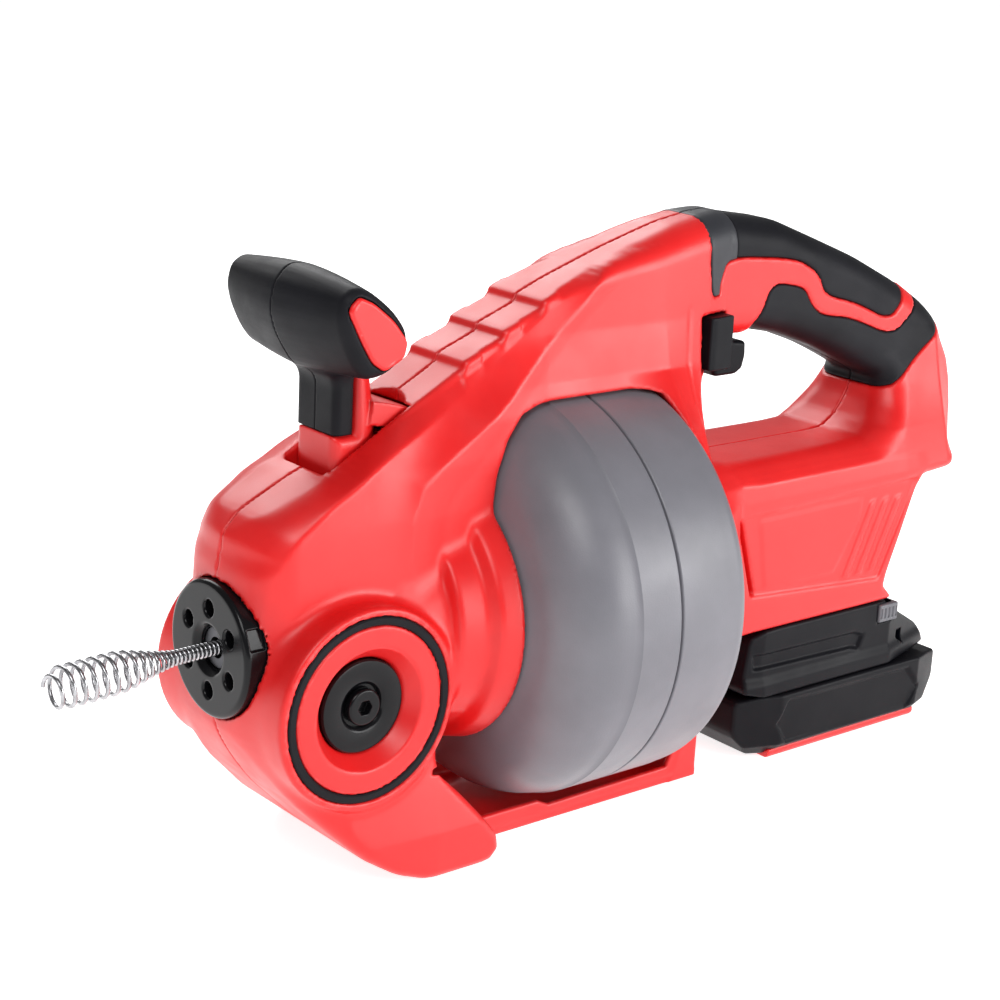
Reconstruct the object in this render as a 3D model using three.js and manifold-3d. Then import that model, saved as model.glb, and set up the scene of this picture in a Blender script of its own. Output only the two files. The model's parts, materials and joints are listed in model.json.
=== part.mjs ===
// Cordless hand-held drain cleaning machine: a drum of steel cable turned by a battery motor,
// with a feed lever on its head that presses rollers against the turning cable.
//
// Millimetres. The nose points to -X, +Y is the machine's right side, +Z is up.
// The origin is on the floor, under the drum, on the underside of the bottom rail.
import * as THREE from "three";
import { mergeVertices } from "three/addons/utils/BufferGeometryUtils.js";
import Module from "manifold-3d";

const wasm = await Module();
wasm.setup();

// ---------------------------------------------------------------- driving dimensions
const GAP = 0.3; // clearance between pieces that touch
const AXIS_Z = 100; // height of the drum and cable axis
const SEAM = 0.15; // half the gap between the left and right halves

const DRUM = { radius: 90.7, front: -44, shoulder: -21, seam: 9.5, back: 42, rear: 50, wall: 3 };
const DRUM_CLEARANCE = 1.8;
const ROUND = 28; // sides of the round shapes on the housing
const BELL = { rim: 59.2, x: -45, wall: 2.6 };
const NECK = { outer: 14, inner: 10, front: -84, rear: -66 };
const NOSE = { face: -160, back: -148, radius: 28, bore: 8.5, holeCircle: 17, hole: 3.3 };
const CABLE = { radius: 3.15, tip: -230, bulb: 8.7, neck: -178, tail: -52 };
const PIVOT = { x: -114, z: 80 };
const BOSS = { radius: 42, face: 46, ringOuter: 38.4, ringInner: 34.9, dish: 25.3, hub: 19.4 };
const ARM = { inner: 19.5, outer: 24.5 };
const SLOT = { front: -117, rear: -72, half: 15.1 };
const POST = { front: -112, seam: -102, rear: -90, half: 14, top: 212 };
const TBAR = { x: -115, z: 231, core: 10 };
const RAIL = { half: 30, floor: 3.5, wall: 10, front: -69.7, rear: 84 };
const ROLLER = { radius: 8, half: 6, bore: 2.2, x: -114, circle: 11.45 };
const GEAR = { module: 1, sun: 12, planet: 18, ring: 48, front: 90.5, rear: 100.5 };
const MOTOR = { front: 107, rear: 168, radius: 24, wall: 1.6 };
const BATTERY = { front: 106, rear: 246, half: 40, top: 65.7, split: 32.7 };
const CELL = { radius: 9.1, length: 65, pitch: 18.4 };

const RED = 0xe8242b;
const BLACK = 0x1b1c1f;
const GREY = 0x85848c;
const STEEL = 0xa8abb0;

// ---------------------------------------------------------------- solids
const solidOf = (geometry) => {
  geometry.deleteAttribute("normal");
  geometry.deleteAttribute("uv");
  const merged = mergeVertices(geometry, 1e-4);
  return new wasm.Manifold(
    new wasm.Mesh({
      numProp: 3,
      vertProperties: new Float32Array(merged.attributes.position.array),
      triVerts: new Uint32Array(merged.index.array),
    }),
  );
};

const geometryOf = (manifold) => {
  const mesh = manifold.getMesh();
  const geometry = new THREE.BufferGeometry();
  geometry.setAttribute("position", new THREE.Float32BufferAttribute(mesh.vertProperties, 3));
  geometry.setIndex(new THREE.Uint32BufferAttribute(mesh.triVerts, 1));
  geometry.computeVertexNormals();
  return geometry;
};

const box = (x0, x1, y0, y1, z0, z1) => {
  const geometry = new THREE.BoxGeometry(x1 - x0, y1 - y0, z1 - z0);
  geometry.translate((x0 + x1) / 2, (y0 + y1) / 2, (z0 + z1) / 2);
  return solidOf(geometry);
};

// A solid of revolution. The outline is a list of [distance along the axis, radius].
const lathe = (outline, axis, centre, segments = 20) => {
  const points = outline.map(([along, radius]) => new THREE.Vector2(radius, along));
  const geometry = new THREE.LatheGeometry(points, segments);
  if (axis === "x") geometry.rotateZ(-Math.PI / 2);
  if (axis === "z") geometry.rotateX(Math.PI / 2);
  geometry.translate(centre[0], centre[1], centre[2]);
  const solid = solidOf(geometry);
  if (solid.volume() > 0) return solid;
  geometry.setIndex([...geometry.index.array].reverse());
  return solidOf(geometry);
};

const rod = (radius, a0, a1, axis, centre, segments = 20) =>
  lathe([[a0, 0], [a0, radius], [a1, radius], [a1, 0]], axis, centre, segments);

const tube = (inner, outer, a0, a1, axis, centre, segments = 20) =>
  lathe([[a0, inner], [a0, outer], [a1, outer], [a1, inner], [a0, inner]], axis, centre, segments);

// An outline in the XZ plane, a list of [x, z], extruded from y0 to y1.
const plate = (outline, y0, y1) => {
  const shape = new THREE.Shape(outline.map(([x, z]) => new THREE.Vector2(x, z)));
  const geometry = new THREE.ExtrudeGeometry(shape, { depth: y1 - y0, bevelEnabled: false });
  geometry.rotateX(Math.PI / 2);
  geometry.translate(0, y1, 0);
  return solidOf(geometry);
};

// An outline in the YZ plane, a list of [y, z], extruded from x0 to x1.
const section = (outline, x0, x1) => {
  const shape = new THREE.Shape(outline.map(([y, z]) => new THREE.Vector2(y, z)));
  const geometry = new THREE.ExtrudeGeometry(shape, { depth: x1 - x0, bevelEnabled: false });
  geometry.rotateX(Math.PI / 2);
  geometry.rotateZ(Math.PI / 2);
  geometry.translate(x0, 0, 0);
  return solidOf(geometry);
};

const join = (...solids) => solids.reduce((sum, solid) => sum.add(solid));
const cut = (solid, ...tools) => tools.reduce((rest, tool) => rest.subtract(tool), solid);
const mainBody = (solid) => solid.decompose().reduce((a, b) => (a.volume() > b.volume() ? a : b));
const mirrorY = (solid) => solid.mirror([0, 1, 0]);
const sides = [["left", -1], ["right", 1]];
const onSide = (solid, side) => (side < 0 ? solid : mirrorY(solid));

const arc = (cx, cz, radius, from, to, steps) =>
  Array.from({ length: steps + 1 }, (_, i) => {
    const angle = THREE.MathUtils.degToRad(from + ((to - from) * i) / steps);
    return [cx + radius * Math.cos(angle), cz + radius * Math.sin(angle)];
  });

const group = new THREE.Group();
const part = (name, solid, color, roughness, metalness = 0) => {
  const material = new THREE.MeshStandardMaterial({ color, roughness, metalness });
  const mesh = new THREE.Mesh(geometryOf(solid), material);
  mesh.name = name;
  group.add(mesh);
};
const plastic = (name, solid, color = RED) => part(name, solid, color, 0.4);
const rubber = (name, solid) => part(name, solid, BLACK, 0.8);
const steel = (name, solid, color = STEEL) => part(name, solid, color, 0.3, 1);

// ---------------------------------------------------------------- housing envelope
// Side outline of the two housing halves, from the nose over the top to the battery foot.
const TOP_LINE = [
  [-157, 129], [-155, 146], [-147, 155], [-124, 166], [-117, 168.5], [-79, 192], [-62, 204], [-51, 210],
  [-31, 221], [-11, 230], [11, 239], [33, 246], [51, 251], [64, 254], [80, 257], [93, 258], [105, 256],
  [130, 252], [157, 242], [186, 231], [216, 217], [236, 205], [254, 190], [263, 179], [266, 165],
];
const REAR_LINE = [[262, 149], [246, 132], [240, 127], [217, 126], [197, 75], [204, 68], [203, 66]];
const FRONT_LINE = [
  [84, 66], [84, 24], [52, 16], [40, 150], [-40, 150], [-56, 66], [-72, 66], [-77, 46],
  [-48, 12], [-47, 5], [-52, 0], [-84, 0], [-98, 5], [-114, 15], [-141, 42], [-157, 70],
];
const HANDLE_OPENING = [
  [83, 146], [80, 168], [84, 186], [96, 188], [97, 214], [115, 214], [120, 202], [139, 198],
  [165, 189], [192, 177], [202, 172], [199, 162], [192, 152], [182, 146],
];

// Half-width of the housing on a coarse map: one row for each x, one column for each height.
const WIDTH_HEIGHTS = [0, 20, 45, 70, 100, 130, 150, 170, 185, 195, 215, 260];
const WIDTH_ROWS = [
  [-160, [30, 30, 32, 34, 34, 34, 34, 34, 34, 34, 30, 30]],
  [-120, [47, 46, 42, 36, 35, 35, 35, 34, 33, 33, 30, 30]],
  [-80, [50, 50, 44, 36, 35, 35, 35, 34, 32, 31, 28, 26]],
  [-45, [50, 50, 44, 36, 35, 34, 34, 33, 32, 30, 26, 24]],
  [-14, [50, 50, 44, 36, 35, 34, 34, 33, 29, 26, 23, 21]],
  [30, [40, 44, 44, 36, 40, 44, 45, 40, 29, 26, 23, 21]],
  [52, [30, 36, 50, 60, 62, 60, 55, 47, 36, 28, 24, 21]],
  [80, [28, 30, 44, 54, 52, 46, 34, 27, 24, 23, 22, 20]],
  [94, [38, 38, 38, 38, 38, 38, 36, 20, 19, 19, 18.5, 18.5]],
  [205, [38, 38, 38, 38, 38, 38, 34, 25, 20, 19, 18.5, 18.5]],
  [280, [34, 34, 34, 34, 34, 34, 26, 24, 22, 19, 18.5, 18.5]],
];

const blend = (list, value, key) => {
  let index = 1;
  while (index < list.length - 1 && key(list[index]) < value) index += 1;
  const low = key(list[index - 1]);
  const high = key(list[index]);
  return [index, THREE.MathUtils.clamp((value - low) / (high - low), 0, 1)];
};

const rowWidth = (row, z) => {
  const [index, t] = blend(WIDTH_HEIGHTS, z, (height) => height);
  return THREE.MathUtils.lerp(row[index - 1], row[index], t);
};

const sideWidth = (x, z) => {
  const [index, t] = blend(WIDTH_ROWS, x, (row) => row[0]);
  return THREE.MathUtils.lerp(rowWidth(WIDTH_ROWS[index - 1][1], z), rowWidth(WIDTH_ROWS[index][1], z), t);
};

const distanceToLine = (x, z, line) => {
  const point = new THREE.Vector3(x, z, 0);
  const nearest = new THREE.Vector3();
  let best = Infinity;
  line.slice(1).forEach(([x1, z1], i) => {
    const edge = new THREE.Line3(new THREE.Vector3(...line[i], 0), new THREE.Vector3(x1, z1, 0));
    edge.closestPointToPoint(point, true, nearest);
    best = Math.min(best, nearest.distanceTo(point));
  });
  return best;
};

// Radius of the rounding along the outline: large on the head and the handle, small on the cowl.
const edgeRadius = (x, z) => {
  if (x < -110) return 16;
  if (x > 90 && z > 140) return 13;
  return x < 60 && z > 180 ? 6 : 4;
};

const HANDLE_EDGE = [...HANDLE_OPENING, HANDLE_OPENING[0]];
const ROUNDED_LINE = [...TOP_LINE, ...REAR_LINE];
const SIDE_OUTLINE = [...TOP_LINE, ...REAR_LINE, ...FRONT_LINE];

const isInside = (x, z, outline) =>
  outline.reduce((inside, [x0, z0], i) => {
    const [x1, z1] = outline[(i + 1) % outline.length];
    const crosses = z0 > z !== z1 > z && x < x0 + ((x1 - x0) * (z - z0)) / (z1 - z0);
    return crosses ? !inside : inside;
  }, false);

const isSolid = (x, z) => isInside(x, z, SIDE_OUTLINE) && !isInside(x, z, HANDLE_OPENING);

const halfWidth = (x, z, inset) => {
  const radius = edgeRadius(x, z);
  const toEdge = Math.min(distanceToLine(x, z, ROUNDED_LINE), distanceToLine(x, z, HANDLE_EDGE));
  const nearHandle = x > 60 && z > 130;
  const depth = nearHandle && !isSolid(x, z) ? 0 : Math.min(toEdge, radius);
  const rounding = radius - Math.sqrt(radius ** 2 - (radius - depth) ** 2);
  const nose = Math.max(0, -138 - x);
  const noseRounding = 20 - Math.sqrt(Math.max(0, 400 - nose ** 2));
  return Math.max(4, sideWidth(x, z) - rounding - noseRounding - inset);
};

// The left half's block: a box whose outer face is moved out to the housing's half-width. Its grid
// lines are closer together where the side is more curved. It passes the seam, where it is cut flat.
const PAST_SEAM = 6;
const GRID_X = [
  -162, -157, -150, -141, -125, -105, -80, -45, -14, 20, 52, 66, 80, 94, 112, 140, 170, 205, 225, 245, 258, 272,
];
const GRID_Z = [-2, 20, 45, 70, 100, 130, 142, 152, 165, 178, 190, 202, 214, 226, 238, 248, 262];

const envelope = (inset, lines = GRID_X) => {
  const columns = lines.length - 1;
  const rows = GRID_Z.length - 1;
  const geometry = new THREE.BoxGeometry(columns, 1, rows, columns, 1, rows);
  geometry.translate(columns / 2, 0, rows / 2);
  const position = geometry.attributes.position;
  for (let i = 0; i < position.count; i += 1) {
    const x = lines[Math.round(position.getX(i))];
    const z = GRID_Z[Math.round(position.getZ(i))];
    position.setXYZ(i, x, position.getY(i) < 0 ? -halfWidth(x, z, inset) : PAST_SEAM, z);
  }
  return solidOf(geometry);
};

// ---------------------------------------------------------------- drum envelope
const quarter = (x, radius, dx, dr, steps, from, to) =>
  Array.from({ length: steps + 1 }, (_, i) => {
    const angle = THREE.MathUtils.degToRad(from + ((to - from) * i) / steps);
    return [x + dx * Math.cos(angle), radius + dr * Math.sin(angle)];
  });

// Outside of the drum, offset outwards by the given amount: neck, cone, shoulder, wall, rear edge.
const drumOutline = (offset) => [
  [NECK.front - offset, NECK.outer + offset],
  [NECK.rear - offset, NECK.outer + offset],
  [-48 - offset / 2, 50 + offset],
  ...quarter(DRUM.shoulder, 57, DRUM.shoulder - DRUM.front + offset, DRUM.radius - 57 + offset, 4, 180, 90),
  ...quarter(DRUM.back, DRUM.radius - 8, DRUM.rear - DRUM.back + offset, 8 + offset, 3, 90, 0),
];

const drumClearance = () => {
  const radius = DRUM.radius + DRUM_CLEARANCE;
  const back = DRUM.rear + DRUM_CLEARANCE;
  const outline = [
    [-86, 0], [-86, 16], [-68, 16], [-50.5, 52], [-47, 57], [-44.6, 70.8], [-39, 82.6], [-30.8, 90.2],
    [-20, radius], [back, radius], [back, 0],
  ];
  return lathe(outline, "x", [0, 0, AXIS_Z], ROUND);
};

// ---------------------------------------------------------------- housing halves
const GRIP_REGION = [
  [200, 270], [226, 226], [214, 209], [204, 200], [181, 210], [158, 216], [152, 227], [137, 234.5],
  [93, 238.5], [88, 228], [88, 222], [81.5, 222], [79.2, 245], [78.2, 270],
];
const GRIP_LOWER_REGION = [
  [113, 202], [117, 212], [121, 222], [127, 224.5], [144, 221], [150, 212], [157, 207], [177, 204],
  [207, 192.5], [223, 205], [238, 222], [252, 200], [240, 191], [218, 178], [202, 165], [150, 170], [110, 192],
];
const GRIP_SKIN = 2.2;

// Moves every corner of a closed outline, given clockwise, outwards by an amount.
const offsetOutline = (outline, amount) =>
  outline.map(([x, z], i) => {
    const [px, pz] = outline[(i + outline.length - 1) % outline.length];
    const [nx, nz] = outline[(i + 1) % outline.length];
    const before = new THREE.Vector2(pz - z, x - px).normalize();
    const after = new THREE.Vector2(z - nz, nx - x).normalize();
    const mean = before.add(after).normalize();
    const share = Math.max(0.5, mean.dot(after));
    return [x + (mean.x * amount) / share, z + (mean.y * amount) / share];
  });

// Hollows in the thick places of the shell, open at the seam between the halves.
const hollows = () =>
  join(
    plate([[-56, 196], [-14, 217], [40, 238], [76, 246], [76, 226], [60, 199]], -17, 17),
    plate([[142, 229], [186, 216], [234, 192], [226, 185], [186, 203], [142, 213]], -11, 11),
    box(58, 76, -40, 40, 34, 78),
    box(58, 76, -26, 26, 122, 186),
    plate([[179, 124], [206, 124], [196, 84], [179, 84]], -31, 31),
    plate([[212, 140], [246, 140], [256, 178], [232, 186], [216, 160]], -17, 17),
  );

// The block of the side outline, the bell in front of the drum and the round boss on the head.
const outerHalf = () => {
  const block = envelope(0).intersect(plate(SIDE_OUTLINE, -80, PAST_SEAM));
  const handleHole = plate(HANDLE_OPENING, -80, PAST_SEAM);
  const bell = lathe(
    [[-96, 0], [-96, 40], [-74, 44], [-72, 49], [-60, 51], [-57, 56], [BELL.x, BELL.rim], [BELL.x, 0]],
    "x", [0, 0, AXIS_Z], ROUND,
  );
  const boss = rod(BOSS.radius, -BOSS.face, PAST_SEAM, "y", [PIVOT.x, 0, PIVOT.z], ROUND);
  return cut(join(block, bell, boss), handleHole);
};

const bellInside = () =>
  lathe(
    [[-70, 0], [-70, 24], [-62, 46.5], [-56, 53.4], [BELL.x + 1, BELL.rim - BELL.wall], [BELL.x + 1, 0]],
    "x", [0, 0, AXIS_Z], ROUND,
  );

// Grip pads sit in a recess as deep as their skin.
const HANDLE_OUTLINE = [
  [60, 160], [60, 253], ...TOP_LINE.filter(([x]) => x > 60), [262, 149], [246, 132], [160, 132],
];

const gripBlock = (inset) => {
  const inner = plate(offsetOutline(HANDLE_OUTLINE, -inset), -80, PAST_SEAM);
  const hole = plate(offsetOutline(HANDLE_OPENING, inset), -80, PAST_SEAM);
  return cut(envelope(inset).intersect(inner), hole);
};

const SCREWS = [[-142, 60], [-60, 160], [70, 62], [250, 168]];
const screwHole = ([x, z]) =>
  join(
    rod(1.9, -12, 12, "y", [x, 0, z], 6),
    rod(3.7, 9.4, 80, "y", [x, 0, z], 8),
  );

const leverSpace = () => {
  const cavity = join(box(-134, -88, -27, 27, 62, 153), box(-100, -84, -27, 27, 126, 153));
  const slot = box(SLOT.front, SLOT.rear, -SLOT.half, SLOT.half, 140, 230);
  const shield = plate(
    [...arc(PIVOT.x, PIVOT.z, 118, 74, 56, 3), ...arc(PIVOT.x, PIVOT.z, 104, 56, 74, 3)],
    -SLOT.half, SLOT.half,
  );
  return join(cavity, slot, shield, rod(7.5, -90, -80, "x", [0, 0, AXIS_Z], 16));
};

const noseSpace = () =>
  join(
    rod(NOSE.radius + 0.5, -175, NOSE.back, "x", [0, 0, AXIS_Z]),
    rod(18.3, -150, -137, "x", [0, 0, AXIS_Z], 24),
    rod(6, -138, -133, "x", [0, 0, AXIS_Z], 16),
  );

const bossSpace = () => {
  const place = [PIVOT.x, 0, PIVOT.z];
  return join(
    tube(BOSS.ringInner - GAP, BOSS.ringOuter + GAP, -60, -BOSS.face + 2.3, "y", place, ROUND),
    lathe([[-60, 0], [-60, BOSS.dish], [-46, BOSS.dish], [-38.5, BOSS.hub + GAP], [-38.5, 0]], "y", place, ROUND),
    rod(BOSS.hub + GAP, -40, -34, "y", place, ROUND),
    rod(5.3, -40, -20, "y", place, 16),
  );
};

const driveSpace = () => {
  const place = [0, 0, AXIS_Z];
  return join(
    rod(8, 48, 82, "x", place, 16),
    rod(16.3, 57, 66, "x", place, 24),
    rod(29.6, 79, 104.3, "x", place),
    rod(24.3, 104, 176, "x", place),
    box(107, 119, -17, 17, 65, 76),
    box(119, 250, -20.5, 20.5, 60, 73),
  );
};

const triggerSpace = () => box(96.5, 122, -8.8, 8.8, 170, 216);

const gripSpace = () =>
  join(
    triggerSpace(),
    box(98, 136, -8.5, 8.5, 212, 236),
    box(75.5, 93.8, -80, 80, 189.2, 214.8),
  );

const footSpace = () =>
  join(
    plate([[-80, 52], [-96, 24], [-84, 6], [-74, 4], [-30, 4], [-30, 52]], -44, 44),
    box(-70.2, -30, -RAIL.half - GAP, RAIL.half + GAP, -2, 14),
    box(40, 86, -31, 31, -2, 26),
  );

const bellClearance = () => {
  const block = lathe(
    [[-44.8, 0], [-44.8, BELL.rim + 4], [-20, 98], [20, 98], [20, 0]], "x", [0, 0, AXIS_Z], ROUND,
  );
  return block.intersect(box(-44.8, 20, -100, 100, 0, 112));
};

const housingHalf = (side) => {
  const keepSide = side < 0 ? box(-300, 300, -200, -SEAM, -10, 300) : box(-300, 300, SEAM, 200, -10, 300);
  const outer = outerHalf();
  const pads = join(plate(GRIP_REGION, -80, PAST_SEAM), plate(GRIP_LOWER_REGION, -80, PAST_SEAM));
  const core = join(cut(outer, pads), gripBlock(GRIP_SKIN + GAP).intersect(pads));
  const whole = cut(core, bellInside(), drumClearance(), bossSpace(), bellClearance());
  const half = cut(
    onSide(whole, side), hollows(), leverSpace(), noseSpace(), driveSpace(), gripSpace(), footSpace(),
    ...SCREWS.map(screwHole), rod(22.2, -86, -69, "x", [0, 0, AXIS_Z]),
  );
  return mainBody(half.intersect(keepSide));
};

const gripPad = (region) => {
  const skin = cut(outerHalf().intersect(plate(offsetOutline(region, -GAP), -80, -SEAM)), gripBlock(GRIP_SKIN));
  return mainBody(cut(skin, triggerSpace()));
};

const buildHousing = () => {
  sides.forEach(([word, side]) => {
    plastic(`${word}_housing`, housingHalf(side));
    rubber(`grip_upper_${word}`, onSide(gripPad(GRIP_REGION), side));
    rubber(`grip_lower_${word}`, onSide(gripPad(GRIP_LOWER_REGION), side));
    const place = [PIVOT.x, 0, PIVOT.z];
    const ring = tube(BOSS.ringInner, BOSS.ringOuter, -BOSS.face, -BOSS.face + 2, "y", place, ROUND);
    rubber(`boss_ring_${word}`, onSide(ring, side));
    const hub = cut(
      lathe([[-41, 0], [-41, 18], [-40, BOSS.hub], [-34.3, BOSS.hub], [-34.3, 0]], "y", place, ROUND),
      rod(8.9, -50, -38, "y", place, 24), rod(5.3, -50, -20, "y", place, 16),
    );
    plastic(`boss_hub_${word}`, onSide(hub, side), BLACK);
    const bolt = cut(
      join(rod(7.6, -40.8, -38.3, "y", place, 20), rod(5, -39, -ARM.inner, "y", place, 16)),
      rod(2.6, -50, -38.6, "y", place, 6),
    );
    steel(`pivot_bolt_${word}`, onSide(bolt, side));
  });
  SCREWS.forEach(([x, z], i) => {
    const screw = join(
      rod(1.5, -11.5, 11, "y", [x, 0, z], 6),
      rod(3.2, 9.8, 12.4, "y", [x, 0, z], 8),
    );
    steel(`case_screw_${i + 1}`, screw);
  });
};

const buildRail = () => {
  const floor = box(RAIL.front, RAIL.rear, -RAIL.half, RAIL.half, 0, RAIL.floor);
  const wall = plate(
    [[-69.7, 0], [84, 0], [84, 22], [72, 20], [66, 8], [-4, 7], [-10, RAIL.wall], [-69.7, RAIL.wall]],
    -RAIL.half, -RAIL.half + 3,
  );
  const riser = plate([[68, 0], [84, 0], [84, 23], [76, 23]], -RAIL.half, RAIL.half);
  plastic("bottom_rail", join(floor, wall, mirrorY(wall), riser));
};

// ---------------------------------------------------------------- nose and feed unit
const buildNose = () => {
  const place = [0, 0, AXIS_Z];
  const disc = lathe(
    [[NOSE.face, NOSE.bore], [NOSE.face, 25], [NOSE.face + 2.5, NOSE.radius], [-148.3, NOSE.radius],
      [-148.3, 18], [-140, 18], [-140, NOSE.bore], [NOSE.face, NOSE.bore]], "x", place, 32,
  );
  const holes = Array.from({ length: 6 }, (_, i) => {
    const angle = (i * Math.PI) / 3 + Math.PI / 6;
    const y = NOSE.holeCircle * Math.cos(angle);
    const z = AXIS_Z + NOSE.holeCircle * Math.sin(angle);
    return rod(NOSE.hole, NOSE.face - 1, NOSE.face + 7, "x", [0, y, z], 8);
  });
  const countersink = lathe(
    [[-161, 0], [-161, 11.4], [-158, NOSE.bore], [-158, 0]], "x", place, 32,
  );
  plastic("nose_cap", cut(disc, ...holes, countersink), BLACK);
  steel("nose_bushing", tube(4.4, 8.2, -156, -141, "x", place, 24), 0x3c3d40);
  steel("guide_tube", tube(4.4, 7, -87.5, -62, "x", place, 20));
};

const rollerCentre = (degrees, distance = ROLLER.circle) => {
  const angle = THREE.MathUtils.degToRad(degrees);
  return [ROLLER.x, distance * Math.cos(angle), AXIS_Z + distance * Math.sin(angle)];
};

const roller = (centre) => {
  const { half, radius, bore } = ROLLER;
  const outline = [
    [-half, bore + 0.3], [-half, radius - 1], [-half + 1.5, radius], [half - 1.5, radius],
    [half, radius - 1], [half, bore + 0.3], [-half, bore + 0.3],
  ];
  return lathe(outline, "x", centre, 20);
};

const buildFeedUnit = () => {
  const lowerCentres = [["left", rollerCentre(210)], ["right", rollerCentre(330)]];
  const cheek = (x0, x1) =>
    cut(box(x0, x1, -18, 18, 84, 108), box(x0 - 1, x1 + 1, -4.5, 4.5, 96, 120));
  const base = box(-126, -102, -18, 18, 78, 84.4);
  const posts = join(
    box(-126, -121.3, -18, -11.6, 100, 128), box(-126, -121.3, 11.6, 18, 100, 128),
    box(-106.7, -102, -18, -11.6, 100, 128), box(-106.7, -102, 11.6, 18, 100, 128),
  );
  const flange = cut(
    box(-102.2, -88.6, -18, 18, 78, 116), rod(7.3, -90, -80, "x", [0, 0, AXIS_Z], 20),
    rod(4.4, -110, -80, "x", [0, 0, AXIS_Z], 16), box(-98, -87, -20, 20, 70, 92),
  );
  const tunnel = rod(4.4, -130, -80, "x", [0, 0, AXIS_Z], 16);
  const pins = lowerCentres.map(([, centre]) => rod(ROLLER.bore, -8, 8, "x", centre, 12));
  const frame = cut(join(base, cheek(-126, -121.3), cheek(-106.7, -102), posts, flange), tunnel);
  steel("feed_block", join(frame, ...pins), 0x9da0a5);
  lowerCentres.forEach(([word, centre]) => steel(`lower_roller_${word}`, roller(centre)));
  const top = rollerCentre(90, ROLLER.circle + 1.4);
  const saddle = box(-120.8, -107.2, -11.2, 11.2, 122, 132);
  const topPin = rod(ROLLER.bore, -6.6, 6.6, "x", top, 12);
  const ears = join(box(-120.8, -120.4, -6, 6, 107, 123), box(-107.6, -107.2, -6, 6, 107, 123));
  steel("roller_carriage", join(saddle, ears, topPin), 0x9da0a5);
  steel("top_roller", roller(top));
};

// ---------------------------------------------------------------- feed lever
const tBarRadius = [[0, 20.5], [14, 20], [26, 18.5], [34, 16.5], [39.5, 14], [41.5, 11.5]];
const TBAR_END = 41.5;

const buildLever = () => {
  const pivot = [PIVOT.x, 0, PIVOT.z];
  const arm = cut(
    join(
      plate([[-122, 76], [-106, 76], [-100, 150], [-112, 150]], -ARM.outer, -ARM.inner),
      rod(11, -ARM.outer, -ARM.inner, "y", pivot, 24),
    ),
    rod(5.15, -30, 0, "y", pivot, 16),
  );
  const bridge = plate([[-112, 138], [-99, 138], [-96, 150], [-112, 150]], -ARM.outer, ARM.outer);
  const post = plate(
    [[-112, 149], [POST.rear - 5, 149], [POST.rear, 180], [POST.rear, POST.top], [POST.seam, POST.top],
      [POST.seam, 176], [POST.front, 176]],
    -POST.half, POST.half,
  );
  const core = rod(TBAR.core - GAP, -37.5, 37.5, "y", [TBAR.x, 0, TBAR.z], 20);
  const web = box(-108, -97, -5.7, 5.7, POST.top - 4, TBAR.z);
  const shield = plate(
    [...arc(PIVOT.x, PIVOT.z, 115, 80, 66, 3), ...arc(PIVOT.x, PIVOT.z, 107, 66, 80, 3)],
    -POST.half, POST.half,
  );
  plastic("feed_lever", join(arm, mirrorY(arm), bridge, post, core, web, shield));
  const bar = lathe(
    [[0, 0], ...tBarRadius.map(([y, r]) => [y, r]), [TBAR_END, 0]], "y", [TBAR.x, 0, TBAR.z], 28,
  );
  const sleeve = plate(
    [[POST.front, 176.3], [POST.seam - GAP, 176.3], [POST.seam - GAP, 214], [-98, 218], [-100, 232], [-120, 232]],
    0, POST.half,
  );
  const rightHalf = cut(
    join(bar, sleeve).intersect(box(-200, 0, SEAM, 100, 100, 300)),
    rod(TBAR.core, -50, 37.8, "y", [TBAR.x, 0, TBAR.z], 20),
    box(-108.3, -96.7, -6, 6, 200, TBAR.z),
    box(POST.seam - GAP, POST.rear + GAP, -POST.half - GAP, POST.half + GAP, 170, POST.top + GAP),
  );
  const capShape = rod(9.5, TBAR_END - 2, TBAR_END + 1, "y", [TBAR.x + 1, 0, TBAR.z - 1], 20);
  const capPocket = rod(9.8, TBAR_END - 2.3, TBAR_END + 5, "y", [TBAR.x + 1, 0, TBAR.z - 1], 20);
  sides.forEach(([word, side]) => {
    const half = cut(rightHalf, capPocket);
    rubber(`lever_grip_${word}`, side > 0 ? half : mirrorY(half));
    plastic(`lever_cap_${word}`, side > 0 ? capShape : mirrorY(capShape));
  });
};

// ---------------------------------------------------------------- drum and cable
const buildDrum = () => {
  const place = [0, 0, AXIS_Z];
  const outside = drumOutline(0);
  const skin = -DRUM.wall;
  const inside = drumOutline(skin);
  inside[0][0] = NECK.front - 1;
  const hollow = lathe([[inside[0][0], 0], ...inside, [DRUM.rear + skin, 0]], "x", place, 32);
  const full = lathe([[outside[0][0], 0], ...outside, [DRUM.rear, 0]], "x", place, 32);
  const shell = cut(full, hollow, rod(12.3, 40, 60, "x", place, 24));
  const frontSide = box(-100, DRUM.seam - SEAM, -100, 100, 0, 200);
  const rearSide = box(DRUM.seam + SEAM, 60, -100, 100, 0, 200);
  part("drum_front_shell", shell.intersect(frontSide), GREY, 0.5);
  part("drum_rear_shell", shell.intersect(rearSide), GREY, 0.5);
  part("cable_coil", tube(58, 86.5, -11, 17, "x", place, 32), STEEL, 0.35, 1);
  const hub = lathe(
    [[39, 6.3], [39, 26], [46.7, 26], [46.7, 12], [51.3, 12], [51.3, 6.3], [39, 6.3]], "x", place, 32,
  );
  steel("drum_hub", hub, 0x9da0a5);
  steel("spindle_nut", cut(rod(11, 31, 38.7, "x", place, 6), rod(6.3, 30, 40, "x", place, 20)));
  steel("front_bearing", tube(NECK.outer + 0.3, 21.9, -84, -72, "x", place, 32), 0xb49a5a);
  steel("spindle_bearing", tube(6.3, 16, 57.3, 65.7, "x", place, 28), 0x8e9196);
};

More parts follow.
